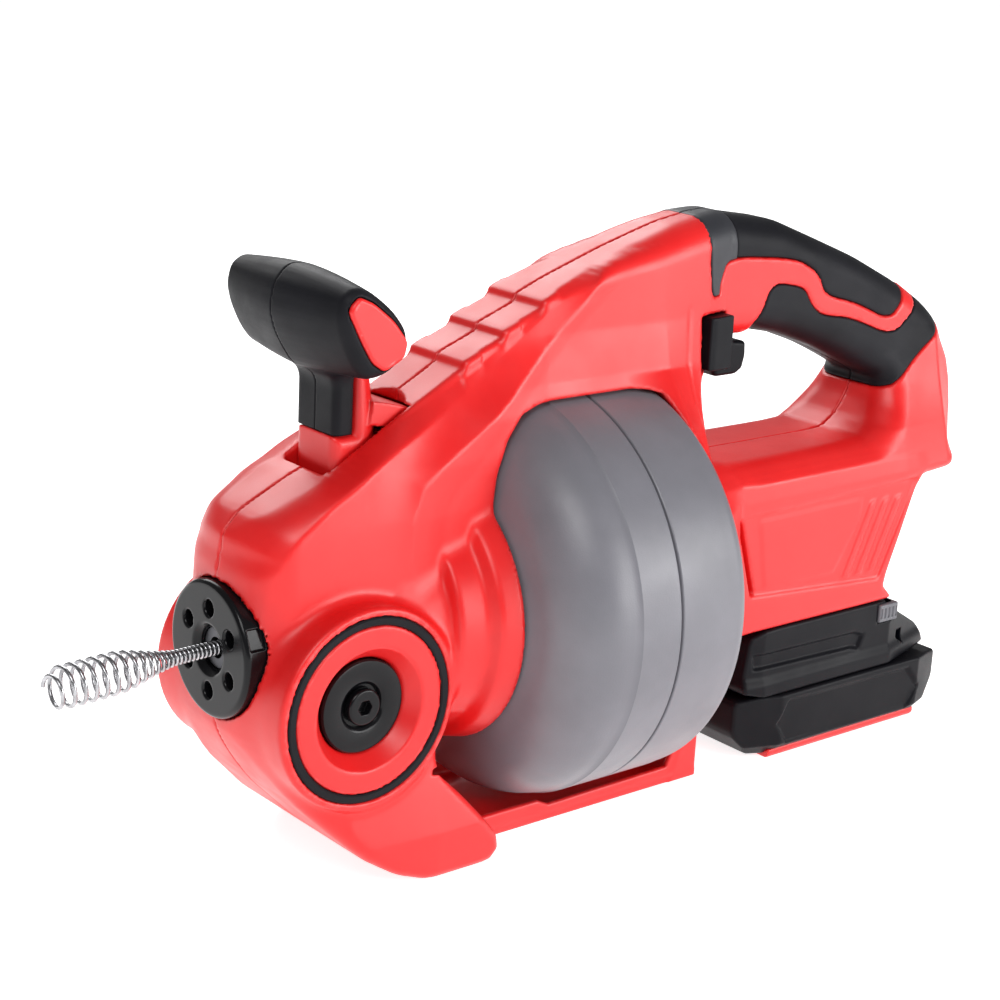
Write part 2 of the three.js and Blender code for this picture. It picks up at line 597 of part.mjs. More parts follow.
const buildCable = () => {
  const { radius, tip, bulb, neck, tail } = CABLE;
  const outline = [
    [tip, 0], [tip, 3], [tip + 4, bulb], [neck - 22, bulb], [neck, radius], [tail, radius], [tail, 0],
  ];
  steel("cable", lathe(outline, "x", [0, 0, AXIS_Z], 12));
};

// ---------------------------------------------------------------- gearbox and motor
const toothed = (teeth, tipRadius, rootRadius, tipShare, rootShare, phase) =>
  Array.from({ length: teeth }, (_, i) => {
    const pitch = (2 * Math.PI) / teeth;
    const middle = phase + i * pitch;
    const corner = (radius, share) => [
      radius * Math.cos(middle + share * pitch),
      radius * Math.sin(middle + share * pitch),
    ];
    return [
      corner(rootRadius, -rootShare), corner(tipRadius, -tipShare),
      corner(tipRadius, tipShare), corner(rootRadius, rootShare),
    ];
  }).flat();

const gear = (teeth, phase, centre, x0, x1) => {
  const pitchRadius = (GEAR.module * teeth) / 2;
  const outline = toothed(teeth, pitchRadius + 0.85, pitchRadius - 1.1, 0.1, 0.27, phase);
  return section(outline.map(([y, z]) => [y + centre[0], z + centre[1]]), x0, x1);
};

const PLANET_ANGLES = [90, 210, 330];
const planetCircle = (GEAR.module * (GEAR.sun + GEAR.planet)) / 2;
const planetCentre = (degrees) => {
  const angle = THREE.MathUtils.degToRad(degrees);
  return [planetCircle * Math.cos(angle), AXIS_Z + planetCircle * Math.sin(angle)];
};

const buildGearbox = () => {
  const place = [0, 0, AXIS_Z];
  const upright = Math.PI / 2;
  const ringRadius = (GEAR.module * GEAR.ring) / 2;
  const teeth = toothed(GEAR.ring, ringRadius + 1.1, ringRadius - 0.85, 0.2, 0.4, upright + Math.PI / GEAR.ring);
  const ringHole = section(teeth.map(([y, z]) => [y, z + AXIS_Z]), GEAR.front - 5, GEAR.rear + 5);
  steel("ring_gear", cut(rod(27.2, GEAR.front - 0.5, GEAR.rear + 0.5, "x", place), ringHole), 0x6f7277);
  const can = cut(
    rod(29.3, 79.5, 103.7, "x", place), rod(28, 82.5, 110, "x", place), rod(12, 70, 90, "x", place, 20),
  );
  steel("gearbox_case", can, 0x9da0a5);
  const carrier = join(
    rod(6, 30, 86, "x", place, 20),
    rod(21, 84.5, 89, "x", place, 28),
    ...PLANET_ANGLES.map((degrees) => rod(2.6, 88, GEAR.rear + 1, "x", [0, ...planetCentre(degrees)], 12)),
  );
  steel("planet_carrier", carrier, 0x8e9196);
  PLANET_ANGLES.forEach((degrees, i) => {
    const direction = THREE.MathUtils.degToRad(degrees);
    const halfTooth = Math.PI / GEAR.planet;
    const [y, z] = planetCentre(degrees);
    const wheel = gear(GEAR.planet, direction + halfTooth, [y, z], GEAR.front, GEAR.rear);
    steel(`planet_gear_${i + 1}`, cut(wheel, rod(2.9, 80, 120, "x", [0, y, z], 16)), 0x8e9196);
  });
};

const buildMotor = () => {
  const place = [0, 0, AXIS_Z];
  const { front, rear, radius, wall } = MOTOR;
  const can = cut(rod(radius, front, rear, "x", place), rod(radius - wall, front + 2, rear + 5, "x", place));
  steel("motor_can", cut(can, rod(7, front - 1, front + 4, "x", place, 16)), 0x5b5e63);
  plastic("motor_end_cap", tube(3.2, radius, rear + GAP, rear + 5, "x", place), BLACK);
  const sun = gear(GEAR.sun, Math.PI / 2, [0, AXIS_Z], GEAR.front, GEAR.rear);
  steel("sun_gear", cut(sun, rod(2.5, 80, 120, "x", place, 16)), 0x8e9196);
  const rotor = join(
    rod(2.4, GEAR.front + 0.5, 176, "x", place, 16),
    rod(15, 116, 152, "x", place, 20),
    rod(8, 156, 163, "x", place, 16),
  );
  steel("motor_rotor", rotor, 0x6f7277);
};

// ---------------------------------------------------------------- switches and electronics
const buildControls = () => {
  const trigger = plate(
    [[98, 206], [98, 186], [101, 181.5], [114, 181.5], [118, 184], [119.5, 190], [119, 196.5], [110.5, 197.5],
      [110.5, 206]],
    -8.4, 8.4,
  );
  plastic("trigger", trigger, BLACK);
  plastic("switch_module", box(100.5, 132, -7.5, 7.5, 221, 234), BLACK);
  const selector = cut(
    box(79, 93.4, -25.5, 25.5, 190, 214),
    ...[-1, 1].map((side) => box(82, 91, side * 27 - 3, side * 27 + 3, 193, 211)),
  );
  plastic("direction_selector", selector, BLACK);
  plastic("control_board", box(229, 232, -14.5, 14.5, 146, 176), 0x1f6b3a);
  plastic("terminal_block", box(107.5, 118.5, -16, 16, 66.2, 75.4), BLACK);
};

// ---------------------------------------------------------------- battery
const batterySection = (half, z0, z1, chamfer) => [
  [-half + chamfer, z0], [half - chamfer, z0], [half, z0 + chamfer], [half, z1], [-half, z1],
  [-half, z0 + chamfer],
];

const buildBattery = () => {
  const { front, rear, half, top, split } = BATTERY;
  const bottomOutline = section(batterySection(half, 1.2, split, 9), front, rear);
  const bottomSide = plate(
    [[front + 12, 1.2], [front, 14], [front, split], [rear, split], [rear, 16], [rear - 15, 1.2]], -half, half,
  );
  const cellSpace = box(front + 10, rear - 27, -half + 5, half - 5, 8, 47);
  const stripSpace = box(126, 230, -half - 1, half + 1, 0, 5);
  const bottom = cut(bottomOutline.intersect(bottomSide), cellSpace, stripSpace);
  plastic("battery_bottom_case", bottom, BLACK);
  plastic("battery_base_strip", section(batterySection(half - 4, 0, 4.7, 2), 126.3, 229.7));
  const topSide = plate(
    [[front, split + GAP], [rear - 2, split + GAP], [rear - 8, 44], [rear - 34, 58], [rear - 40, top], [front + 4, top]],
    -half, half,
  );
  const topFace = section(
    [[-half + 1, split + GAP], [half - 1, split + GAP], [half - 2, 42], [36.5, 46], [36.5, top], [-36.5, top], [-36.5, 46],
      [-half + 2, 42]], front, rear,
  );
  const tongue = join(box(122, 204, -12, 12, top - 1, 72), box(122, 204, -17, 17, 69, 72));
  const latchHoles = sides.map(([, side]) => box(195.7, 209.3, side * 31 - 9, side * 31 + 9, 54.7, 64.3));
  const body = cut(topSide.intersect(topFace), cellSpace, ...latchHoles);
  plastic("battery_top_case", join(body, tongue), BLACK);
  const cells = Array.from({ length: 10 }, (_, i) => {
    const x = 134 + (i % 5) * CELL.pitch;
    const z = 17.8 + Math.floor(i / 5) * CELL.pitch;
    return rod(CELL.radius, -CELL.length / 2, CELL.length / 2, "y", [x, 0, z], 10);
  });
  const holder = box(127, 215, -25, 25, 12, 42);
  plastic("cell_pack", join(holder, ...cells), 0x3d7fb8);
  sides.forEach(([word, side]) => {
    const button = cut(box(196, 209, -37.6, -25, 55, 64), box(198, 207, -40, -36.6, 57, 62));
    plastic(`battery_latch_${word}`, onSide(button, side), GREY);
  });
};

buildHousing();
buildRail();
buildNose();
buildFeedUnit();
buildLever();
buildDrum();
buildCable();
buildGearbox();
buildMotor();
buildControls();
buildBattery();

export default group;
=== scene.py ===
"""Looks of a cordless hand-held drain cleaning machine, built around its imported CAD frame.

Moulded shells are signed-distance shapes, meshed here and kept in the CAD nodes' places.
Those shapes are in millimetres, +Z up, nose to -X, as the frame is; meshes are in metres.
"""

import json
import math

import bpy
import numpy as np
from mathutils import Matrix, Vector


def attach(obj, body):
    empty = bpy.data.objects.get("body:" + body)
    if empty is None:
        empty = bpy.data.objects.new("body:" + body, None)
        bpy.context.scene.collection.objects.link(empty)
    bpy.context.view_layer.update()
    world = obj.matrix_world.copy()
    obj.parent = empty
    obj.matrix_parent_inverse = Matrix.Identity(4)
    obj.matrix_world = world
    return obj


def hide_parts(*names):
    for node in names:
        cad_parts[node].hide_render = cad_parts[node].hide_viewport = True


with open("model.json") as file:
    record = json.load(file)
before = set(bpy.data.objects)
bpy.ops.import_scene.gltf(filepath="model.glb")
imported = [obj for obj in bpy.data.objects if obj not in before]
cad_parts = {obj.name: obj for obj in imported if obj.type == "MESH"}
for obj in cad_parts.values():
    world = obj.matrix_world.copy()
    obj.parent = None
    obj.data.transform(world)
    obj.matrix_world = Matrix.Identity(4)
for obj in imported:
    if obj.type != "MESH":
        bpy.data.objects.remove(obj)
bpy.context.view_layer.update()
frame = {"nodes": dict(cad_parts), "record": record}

MM = 0.001
AXIS_Z = 100.0  # height of the drum and cable axis
SEAM = 0.15  # half the gap between the left and right halves
GAP = 0.3
LEFT, RIGHT = -1, 1
SIDES = (("left", LEFT), ("right", RIGHT))
FINE = 1.0  # coarser shells while trying things


# ---------------------------------------------------------------- signed distances
def smooth_min(a, b, k):
    h = np.clip(0.5 + 0.5 * (b - a) / k, 0, 1)
    return b + (a - b) * h - k * h * (1 - h)


def smooth_max(a, b, k):
    return -smooth_min(-a, -b, k)


def edge(a, b, radius):
    """Where a and b meet, an outer edge of that radius."""
    u = np.maximum(a + radius, 0)
    w = np.maximum(b + radius, 0)
    return np.minimum(np.maximum(a, b) + radius, 0) + np.hypot(u, w) - radius


def box(x, y, z, low, high, radius=0.0):
    q = [abs(p - (a + b) / 2) - (b - a) / 2 + radius for p, a, b in zip((x, y, z), low, high)]
    outside = np.sqrt(sum(np.maximum(one, 0) ** 2 for one in q))
    return outside + np.minimum(np.maximum(np.maximum(q[0], q[1]), q[2]), 0) - radius


def span(value, low, high):
    """Signed distance to the slab between low and high."""
    return abs(value - (low + high) / 2) - (high - low) / 2


def ramp(value, low, high):
    t = np.clip((value - low) / (high - low), 0, 1)
    return t * t * (3 - 2 * t)


def polygon(outline, a, b):
    """Signed distance to a closed outline, negative inside."""
    a, b = np.broadcast_arrays(np.asarray(a, float), np.asarray(b, float))
    nearest = np.full(a.shape, np.inf)
    inside = np.zeros(a.shape, bool)
    for (a0, b0), (a1, b1) in zip(outline, outline[1:] + outline[:1]):
        da, db = a1 - a0, b1 - b0
        t = np.clip(((a - a0) * da + (b - b0) * db) / (da * da + db * db + 1e-12), 0, 1)
        nearest = np.minimum(nearest, np.hypot(a - a0 - t * da, b - b0 - t * db))
        if b0 != b1:
            crosses = (b0 > b) != (b1 > b)
            inside ^= crosses & (a < a0 + da * (b - b0) / db)
    return np.where(inside, -nearest, nearest)


def soften(outline, share=0.22, times=2):
    """Cuts the corners of a closed outline, to round them."""
    for _ in range(times):
        cut = []
        for (a0, b0), (a1, b1) in zip(outline, outline[1:] + outline[:1]):
            cut.append((a0 + share * (a1 - a0), b0 + share * (b1 - b0)))
            cut.append((a1 + share * (a0 - a1), b1 + share * (b0 - b1)))
        outline = cut
    return outline


class Chart:
    """A function of two coordinates, worked out once on a grid and then looked up."""

    def __init__(self, function, low, high, step, blur=0):
        self.low, self.step = low, step
        count = [int((high[i] - low[i]) / step) + 2 for i in (0, 1)]
        a = low[0] + step * np.arange(count[0])[:, None]
        b = low[1] + step * np.arange(count[1])[None, :]
        self.values = np.array(function(a, b), float) + np.zeros(count)
        for _ in range(blur):
            for axis in (0, 1):
                padded = np.pad(self.values, [(1, 1) if i == axis else (0, 0) for i in (0, 1)], "edge")
                ends = [np.take(padded, range(k, k + count[axis]), axis) for k in (0, 1, 2)]
                self.values = (ends[0] + 2 * ends[1] + ends[2]) / 4

    def __call__(self, a, b):
        a = (a - self.low[0]) / self.step
        b = (b - self.low[1]) / self.step
        i = np.clip(np.floor(a).astype(int), 0, self.values.shape[0] - 2)
        j = np.clip(np.floor(b).astype(int), 0, self.values.shape[1] - 2)
        s, t = np.clip(a - i, 0, 1), np.clip(b - j, 0, 1)
        v = self.values
        lower = v[i, j] * (1 - s) + v[i + 1, j] * s
        upper = v[i, j + 1] * (1 - s) + v[i + 1, j + 1] * s
        return lower * (1 - t) + upper * t


# ---------------------------------------------------------------- meshes from distances
CORNERS = np.array([(i, j, k) for i in (0, 1) for j in (0, 1) for k in (0, 1)])
EDGES = [(a, b) for a in range(8) for b in range(a + 1, 8) if abs(CORNERS[a] - CORNERS[b]).sum() == 1]


def surface(field, low, high, step):
    """Vertices and quads of the zero level of a field, by surface nets, then moved onto it."""
    low = np.array(low, float)
    count = [int(math.ceil((high[i] - low[i]) / step)) + 1 for i in range(3)]
    x, y, z = [low[i] + step * np.arange(count[i]) for i in range(3)]
    shape = tuple(count)
    values = np.broadcast_to(field(x[:, None, None], y[None, :, None], z[None, None, :]), shape)
    inside = values < 0
    cell = tuple(n - 1 for n in shape)
    share = sum(inside[i:i + cell[0], j:j + cell[1], k:k + cell[2]].astype(np.int8) for i, j, k in CORNERS)
    active = np.argwhere((share > 0) & (share < 8))
    at = active[:, None, :] + CORNERS[None]
    corner = values[at[..., 0], at[..., 1], at[..., 2]]
    total = np.zeros((len(active), 3))
    hits = np.zeros((len(active), 1))
    for a, b in EDGES:
        change = (corner[:, a] < 0) != (corner[:, b] < 0)
        gap = np.where(change, corner[:, a] - corner[:, b], 1)
        t = (corner[:, a] / gap)[:, None]
        total += np.where(change[:, None], CORNERS[a] * (1 - t) + CORNERS[b] * t, 0)
        hits += change[:, None]
    points = low + step * (active + total / hits)
    index = np.full(cell, -1)
    index[tuple(active.T)] = np.arange(len(active))
    quads = []
    for axis in range(3):
        u, w = [i for i in range(3) if i != axis]
        first = np.take(inside, range(shape[axis] - 1), axis)
        second = np.take(inside, range(1, shape[axis]), axis)
        places = np.argwhere(first != second)
        places = places[(places[:, u] > 0) & (places[:, w] > 0) & (places[:, u] < cell[u]) & (places[:, w] < cell[w])]
        falls = first[tuple(places.T)]
        ring = []
        for du, dw in ((0, 0), (1, 0), (1, 1), (0, 1)):
            move = np.zeros(3, int)
            move[u], move[w] = du, dw
            ring.append(index[tuple((places - move).T)])
        ring = np.stack(ring, 1)
        flip = falls if axis != 1 else ~falls
        ring[flip] = ring[flip][:, ::-1]
        quads.append(ring)
    quads = np.concatenate(quads)
    return settle(field, points, step), quads[:, ::-1]


def settle(field, points, step):
    """Moves vertices onto the field's zero level."""
    reach = 0.12 * step
    for _ in range(2):
        slope = []
        for axis in range(3):
            move = np.zeros(3)
            move[axis] = reach
            slope.append((field(*(points + move).T) - field(*(points - move).T)) / (2 * reach))
        slope = np.stack(slope, 1)
        size = np.maximum((slope ** 2).sum(1), 0.2)
        shift = -(field(*points.T) / size)[:, None] * slope
        points = points + np.clip(shift, -0.45 * step, 0.45 * step)
    return points


def new_mesh(name, points, faces, material, smooth_angle=None):
    mesh = bpy.data.meshes.new(name)
    mesh.from_pydata([tuple(p) for p in points], [], [tuple(int(i) for i in f) for f in faces])
    mesh.materials.append(material)
    mesh.shade_smooth()
    if smooth_angle:
        mesh.set_sharp_from_angle(angle=math.radians(smooth_angle))
    piece = bpy.data.objects.new(name, mesh)
    bpy.context.scene.collection.objects.link(piece)
    return piece


def fit(piece, body, slot, *nodes):
    """Puts a piece on its body and, where it stands for CAD nodes, hides those."""
    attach(piece, body)
    if nodes:
        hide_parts(*nodes)
    return piece


def moulding(name, field, low, high, step, material, angle=None):
    points, faces = surface(field, low, high, step * FINE)
    return new_mesh(name, points * MM, faces, material, angle)


# ---------------------------------------------------------------- materials
class Nodes:
    """Short calls for a material's node tree."""

    def __init__(self, name):
        self.material = bpy.data.materials.new(name)
        self.material.use_nodes = True
        self.tree = self.material.node_tree
        self.shader = self.tree.nodes["Principled BSDF"]
        self.place = self.add("ShaderNodeNewGeometry").outputs["Position"]

    def add(self, kind, **settings):
        node = self.tree.nodes.new(kind)
        for key, value in settings.items():
            setattr(node, key, value)
        return node

    def link(self, source, target):
        self.tree.links.new(source, target)

    def noise(self, scale, detail=3.0, rough=0.55, stretch=None):
        node = self.add("ShaderNodeTexNoise")
        node.inputs["Scale"].default_value = scale
        node.inputs["Detail"].default_value = detail
        node.inputs["Roughness"].default_value = rough
        source = self.add("ShaderNodeTexCoord").outputs["Object"]
        if stretch:
            mapping = self.add("ShaderNodeMapping")
            mapping.inputs["Scale"].default_value = stretch
            self.link(source, mapping.inputs["Vector"])
            source = mapping.outputs["Vector"]
        self.link(source, node.inputs["Vector"])
        return node.outputs["Fac"]

    def remap(self, value, low, high, to_low, to_high):
        node = self.add("ShaderNodeMapRange")
        self.link(value, node.inputs["Value"])
        numbers = (low, high, to_low, to_high)
        for key, number in zip(("From Min", "From Max", "To Min", "To Max"), numbers):
            node.inputs[key].default_value = number
        return node.outputs["Result"]

    def mix(self, factor, first, second):
        node = self.add("ShaderNodeMix", data_type="RGBA")
        self.link(factor, node.inputs["Factor"])
        for socket, colour in (("A", first), ("B", second)):
            target = [s for s in node.inputs if s.name == socket and s.type == "RGBA"][0]
            if isinstance(colour, tuple):
                target.default_value = (*colour, 1)
            else:
                self.link(colour, target)
        return [s for s in node.outputs if s.type == "RGBA"][0]

    def bump(self, height, strength, distance, under=None):
        node = self.add("ShaderNodeBump")
        node.inputs["Strength"].default_value = strength
        node.inputs["Distance"].default_value = distance
        self.link(height, node.inputs["Height"])
        if under:
            self.link(under, node.inputs["Normal"])
        return node.outputs["Normal"]

    def colour(self, source):
        self.link(source, self.shader.inputs["Base Color"])

    def rough(self, source):
        self.link(source, self.shader.inputs["Roughness"])

    def normal(self, source):
        self.link(source, self.shader.inputs["Normal"])

    def set(self, **values):
        for key, value in values.items():
            self.shader.inputs[key.replace("_", " ")].default_value = value


def moulded(name, dark, light, rough, grain, depth, coat=0.0, edge_highlight_colour=None, shine=0.5):
    """Injection-moulded plastic: cloudy colour, spark-eroded grain, uneven shine, and a painted highlight of paler
    red on convex edges.
    """
    m = Nodes(name)
    tint = m.mix(m.remap(m.noise(26, 4), 0.35, 0.65, 0, 1), dark, light)
    # Painted highlight: a paler, brighter copy of the colour on convex edges (pointiness), broken up by fine noise.
    if edge_highlight_colour:
        edges = m.remap(m.add("ShaderNodeNewGeometry").outputs["Pointiness"], 0.53, 0.60, 0, 1)
        highlight_breakup = m.remap(m.noise(240, 5), 0.45, 0.62, 0, 1)
        edge_highlight_mask = m.add("ShaderNodeMath", operation="MULTIPLY")
        m.link(edges, edge_highlight_mask.inputs[0])
        m.link(highlight_breakup, edge_highlight_mask.inputs[1])
        tint = m.mix(edge_highlight_mask.outputs[0], tint, edge_highlight_colour)
    m.colour(tint)
    m.rough(m.remap(m.noise(60, 4), 0.3, 0.7, rough - 0.05, rough + 0.06))
    fine = m.bump(m.noise(grain, 3), 0.6, depth)
    m.normal(m.bump(m.noise(18, 2), 0.25, 0.0006, fine))
    m.set(Coat_Weight=coat, Coat_Roughness=0.12, Specular_IOR_Level=shine)
    return m.material


def metal(name, dark, light, rough, stretch=None, scale=90.0):
    """Bare metal with turning or drawing marks."""
    m = Nodes(name)
    m.colour(m.mix(m.remap(m.noise(scale, 4, 0.6, stretch), 0.35, 0.65, 0, 1), dark, light))
    m.rough(m.remap(m.noise(scale * 2, 4, 0.6, stretch), 0.3, 0.7, rough - 0.08, rough + 0.12))
    m.normal(m.bump(m.noise(scale * 6, 2, 0.5, stretch), 0.3, 0.00006))
    m.set(Metallic=1.0)
    return m.material


def make_materials():
    return {
        "red_plastic": moulded(
            # the last colour, (0.9, 0.10, 0.10), is the painted highlight on convex edges
            "red_plastic", (0.68, 0.008, 0.009), (0.76, 0.012, 0.012), 0.36, 2600, 0.00005, 0.0, (0.9, 0.10, 0.10)),
        "black_rubber": moulded(
            "black_rubber", (0.006, 0.006, 0.008), (0.010, 0.010, 0.013), 0.48, 3200, 0.00009, shine=0.13),
        "collar_rubber": moulded(
            "collar_rubber", (0.020, 0.021, 0.027), (0.027, 0.028, 0.034), 0.44, 3200, 0.00006, shine=0.4),
        "gloss_black": moulded(
            "gloss_black", (0.003, 0.003, 0.004), (0.006, 0.006, 0.007), 0.20, 900, 0.00001, 0.05, shine=0.2),
        "black_plastic": moulded(
            "black_plastic", (0.005, 0.005, 0.007), (0.009, 0.009, 0.011), 0.36, 2400, 0.00006, shine=0.1),
        "grey_latch": moulded("grey_latch", (0.10, 0.10, 0.115), (0.14, 0.14, 0.155), 0.42, 2400, 0.00005),
        "grey_plastic": moulded("grey_plastic", (0.150, 0.148, 0.168), (0.178, 0.175, 0.198), 0.38, 1500, 0.00010),
        "cable_steel": metal("cable_steel", (0.30, 0.30, 0.31), (0.52, 0.52, 0.54), 0.24, (1, 1, 1), 260),
        "circuit_board": moulded("circuit_board", (0.01, 0.10, 0.04), (0.02, 0.15, 0.06), 0.35, 1200, 0.00003),
        "cell_wrap": moulded("cell_wrap", (0.03, 0.14, 0.40), (0.05, 0.18, 0.48), 0.30, 900, 0.00003),
        "bronze": metal("bronze", (0.42, 0.29, 0.12), (0.55, 0.40, 0.18), 0.34),
        "alloy": metal("alloy", (0.42, 0.42, 0.44), (0.56, 0.56, 0.58), 0.42),
        "motor_steel": metal("motor_steel", (0.08, 0.08, 0.09), (0.14, 0.14, 0.15), 0.40),
        "bright_steel": metal("bright_steel", (0.45, 0.46, 0.48), (0.62, 0.63, 0.65), 0.26, (1, 1, 8)),
    }


materials = make_materials()


# ---------------------------------------------------------------- housing outline and widths
TOP_LINE = [
    (-157, 129), (-155, 146), (-147, 155), (-124, 166), (-117, 168.5), (-79, 190.6), (-64, 198.4), (-53.4, 204.2),
    (-52.2, 207.6), (-33.4, 214.8), (-32.2, 218.2), (-13.4, 225.2), (-12.2, 228.6), (0, 233.6), (11, 237.4),
    (33, 244.8), (51, 250), (64, 253.6), (80, 256.4), (93, 257.4), (105, 255.8), (130, 252), (157, 242),
    (186, 231), (216, 217), (236, 205), (254, 190), (263, 179), (266, 165),
]
REAR_LINE = [(262, 149), (246, 132), (240, 127), (217, 126), (197, 75), (204, 68), (203, 66)]
FRONT_LINE = [
    (84, 66), (84, 24), (52, 16), (40, 150), (-40, 150), (-56, 66), (-72, 66), (-77, 46), (-48, 12),
    (-47, 5), (-52, 0), (-84, 0), (-98, 5), (-114, 15), (-141, 42), (-157, 70),
]
HANDLE_OPENING = [
    (83, 146), (80, 168), (84, 186), (96, 188), (97.5, 201.5), (114, 200.5), (117, 202.5), (139, 198), (165, 189),
    (192, 177), (202, 172), (199, 162), (192, 152), (182, 146),
]
WIDTH_HEIGHTS = [0, 20, 45, 70, 100, 130, 150, 170, 185, 195, 215, 260]
WIDTH_ROWS = {
    -160: [30, 30, 32, 34, 34, 34, 34, 34, 34, 34, 30, 30],
    -120: [47, 46, 42, 36, 35, 35, 35, 34, 33, 33, 30, 30],
    -80: [50, 50, 44, 36, 35, 35, 35, 34, 32, 31, 28, 26],
    -45: [50, 50, 44, 36, 35, 34, 34, 33, 32, 30, 26, 24],
    -14: [50, 50, 44, 36, 35, 34, 34, 33, 29, 26, 23, 21],
    30: [40, 44, 44, 36, 40, 44, 45, 40, 29, 26, 23, 21],
    52: [30, 36, 50, 60, 62, 60, 55, 47, 36, 28, 24, 21],
    80: [28, 30, 44, 54, 52, 46, 34, 27, 24, 23, 22, 20],
    94: [38, 38, 38, 38, 38, 38, 36, 20, 19, 19, 18.5, 18.5],
    205: [38, 38, 38, 38, 38, 38, 34, 25, 20, 19, 18.5, 18.5],
    280: [34, 34, 34, 34, 34, 34, 26, 24, 22, 19, 18.5, 18.5],
}
OUTLINE = soften(TOP_LINE + REAR_LINE + FRONT_LINE, 0.12, 2)
CHART_LOW, CHART_HIGH = (-170, -12), (276, 268)


def outline_distance(x, z):
    return np.maximum(polygon(OUTLINE, x, z), -polygon(soften(HANDLE_OPENING, 0.14), x, z))


def base_width(x, z):
    """Half-width of the housing before the details on its sides, from the coarse map."""
    x, z = np.broadcast_arrays(x, z)
    keys = sorted(WIDTH_ROWS)
    rows = [np.interp(z, WIDTH_HEIGHTS, WIDTH_ROWS[key]) for key in keys]
    result = rows[0].copy()
    for i in range(1, len(keys)):
        t = np.clip((x - keys[i - 1]) / (keys[i] - keys[i - 1]), 0, 1)
        result = np.where(x >= keys[i - 1], rows[i - 1] * (1 - t) + rows[i] * t, result)
    return result


# Creases down the side, as (x, z), from the front or bottom end up to the rear: edge of the ridge's
# top, edge of its upper flank, and the two edges of the band below. Each carries on past the outline.
CREASE_TOP = [
    (-164, 60), (-161, 129), (-158, 147), (-148, 157), (-124, 167.5), (-116, 170), (-100, 179), (-84, 186.5),
    (-64, 196.2), (-50, 202.8), (-32, 213.4), (-14, 224), (-4, 230.6), (9, 236), (25, 243.5), (77, 251),
    (77, 400),
]
CREASE_UPPER = [
    (-154, 60), (-153, 112), (-152, 121), (-148, 136), (-140, 149), (-128, 158.5), (-111, 168), (-90, 179),
    (-63, 191), (-35, 208), (-22, 217), (-9, 226), (7, 234), (16, 238.5), (24, 246), (30, 400),
]
CREASE_MIDDLE = [
    (-84, 40), (-86, 108), (-88, 134), (-88, 150), (-83, 163), (-72, 171), (-55, 181), (-36, 193), (-12, 212),
    (7, 227), (17, 238), (26, 250), (32, 400),
]
CREASE_LOWER = [
    (-70, 40), (-72, 106), (-74, 132), (-72, 149), (-66, 159), (-57, 166), (-42, 179), (-22, 195), (0, 214),
    (22, 231), (35, 246), (44, 260), (60, 400),
]
BAND_STEP = -0.5  # how far the band between the two lower creases stands back; negative stands out


def beyond(points):
    """Region on the front and upper side of a crease, as a closed outline."""
    return points + [(-400, 400), (-400, points[0][1] - 200), (points[0][0], points[0][1] - 200)]


def ridge_width(x, z, base):
    """Width across the creases: flat between each two of them, with its own slope."""
    creases = (CREASE_LOWER, CREASE_MIDDLE, CREASE_UPPER, CREASE_TOP)
    depth = [-polygon(beyond(points), x, z) for points in creases]
    upper = np.interp(x, [-150, -126, -108, -90, -63, -35, 60], [30.5, 31.5, 31, 28, 23, 19.8, 19.5])
    top = np.interp(x, [-150, -126, -84, -60, 77], [27, 25.5, 18.4, 18.2, 18.5])
    for riser in (-54, -34, -14):
        top = top + 1.1 * ramp(x, riser - 0.8, riser + 0.8) * (1 - ramp(x, riser + 9, riser + 10.5))
    stops = [base, base - BAND_STEP, np.minimum(upper, base - BAND_STEP - 0.5), top]
    width = base
    for i in range(3):
        share = np.clip(depth[i] / np.maximum(depth[i] - depth[i + 1], 1e-6), 0, 1)
        width = np.where(depth[i] > 0, stops[i] * (1 - share) + stops[i + 1] * share, width)
    width = np.where(depth[3] > 0, top, width)
    part = ramp(z, 96, 118) * (1 - ramp(x, 8, 62))
    return base * (1 - part) + width * part


def distance_to_line(points, x, z):
    nearest = np.full(np.broadcast(x, z).shape, np.inf)
    for (x0, z0), (x1, z1) in zip(points, points[1:]):
        dx, dz = x1 - x0, z1 - z0
        t = np.clip(((x - x0) * dx + (z - z0) * dz) / (dx * dx + dz * dz), 0, 1)
        nearest = np.minimum(nearest, np.hypot(x - x0 - t * dx, z - z0 - t * dz))
    return nearest


REAR_PANEL = [(91, 124), (215, 127), (192, 78), (104, 84)]
REAR_INNER = [(107, 121), (176, 121.5), (176, 112), (160, 87), (113, 87)]
REAR_SLOT = [(93, 122), (96, 121), (107, 86), (104, 86)]
RIBS = [[(181 + 9 * i, 119), (187 + 9 * i, 119.6), (171 + 9 * i, 83), (165 + 9 * i, 83)] for i in range(3)]
COWL_LINE = [(68, 219), (66, 193), (65, 181), (67.5, 173), (77, 154)]


def side_width(x, z):
    x, z = np.broadcast_arrays(np.asarray(x, float), np.asarray(z, float))
    width = ridge_width(x, z, base_width(x, z))
    width = width - 1.3 * ramp(-polygon(REAR_PANEL, x, z), 0, 1.6)
    width = width + 0.5 * ramp(-polygon(REAR_INNER, x, z), 0, 0.9)
    width = width - 9 * ramp(-polygon(REAR_SLOT, x, z), 0, 0.7)
    for rib in RIBS:
        width = width + 1.1 * ramp(-polygon(rib, x, z), 0, 1.2)
    width = width - 0.6 * (1 - ramp(distance_to_line(COWL_LINE, x, z), 0.2, 1.1))
    column = ramp(z, 128, 136) * (1 - ramp(z, 184, 200))
    width = width - 0.5 * np.maximum(x - 238, 0) * column
    band = ramp(x, 96, 110) * (1 - ramp(x, 212, 222)) * ramp(z, 126.5, 129) * (1 - ramp(z, 137, 139))
    nose = np.clip(-138 - x, 0, 20)
    return width + 0.4 * band - (20 - np.sqrt(400 - nose ** 2))


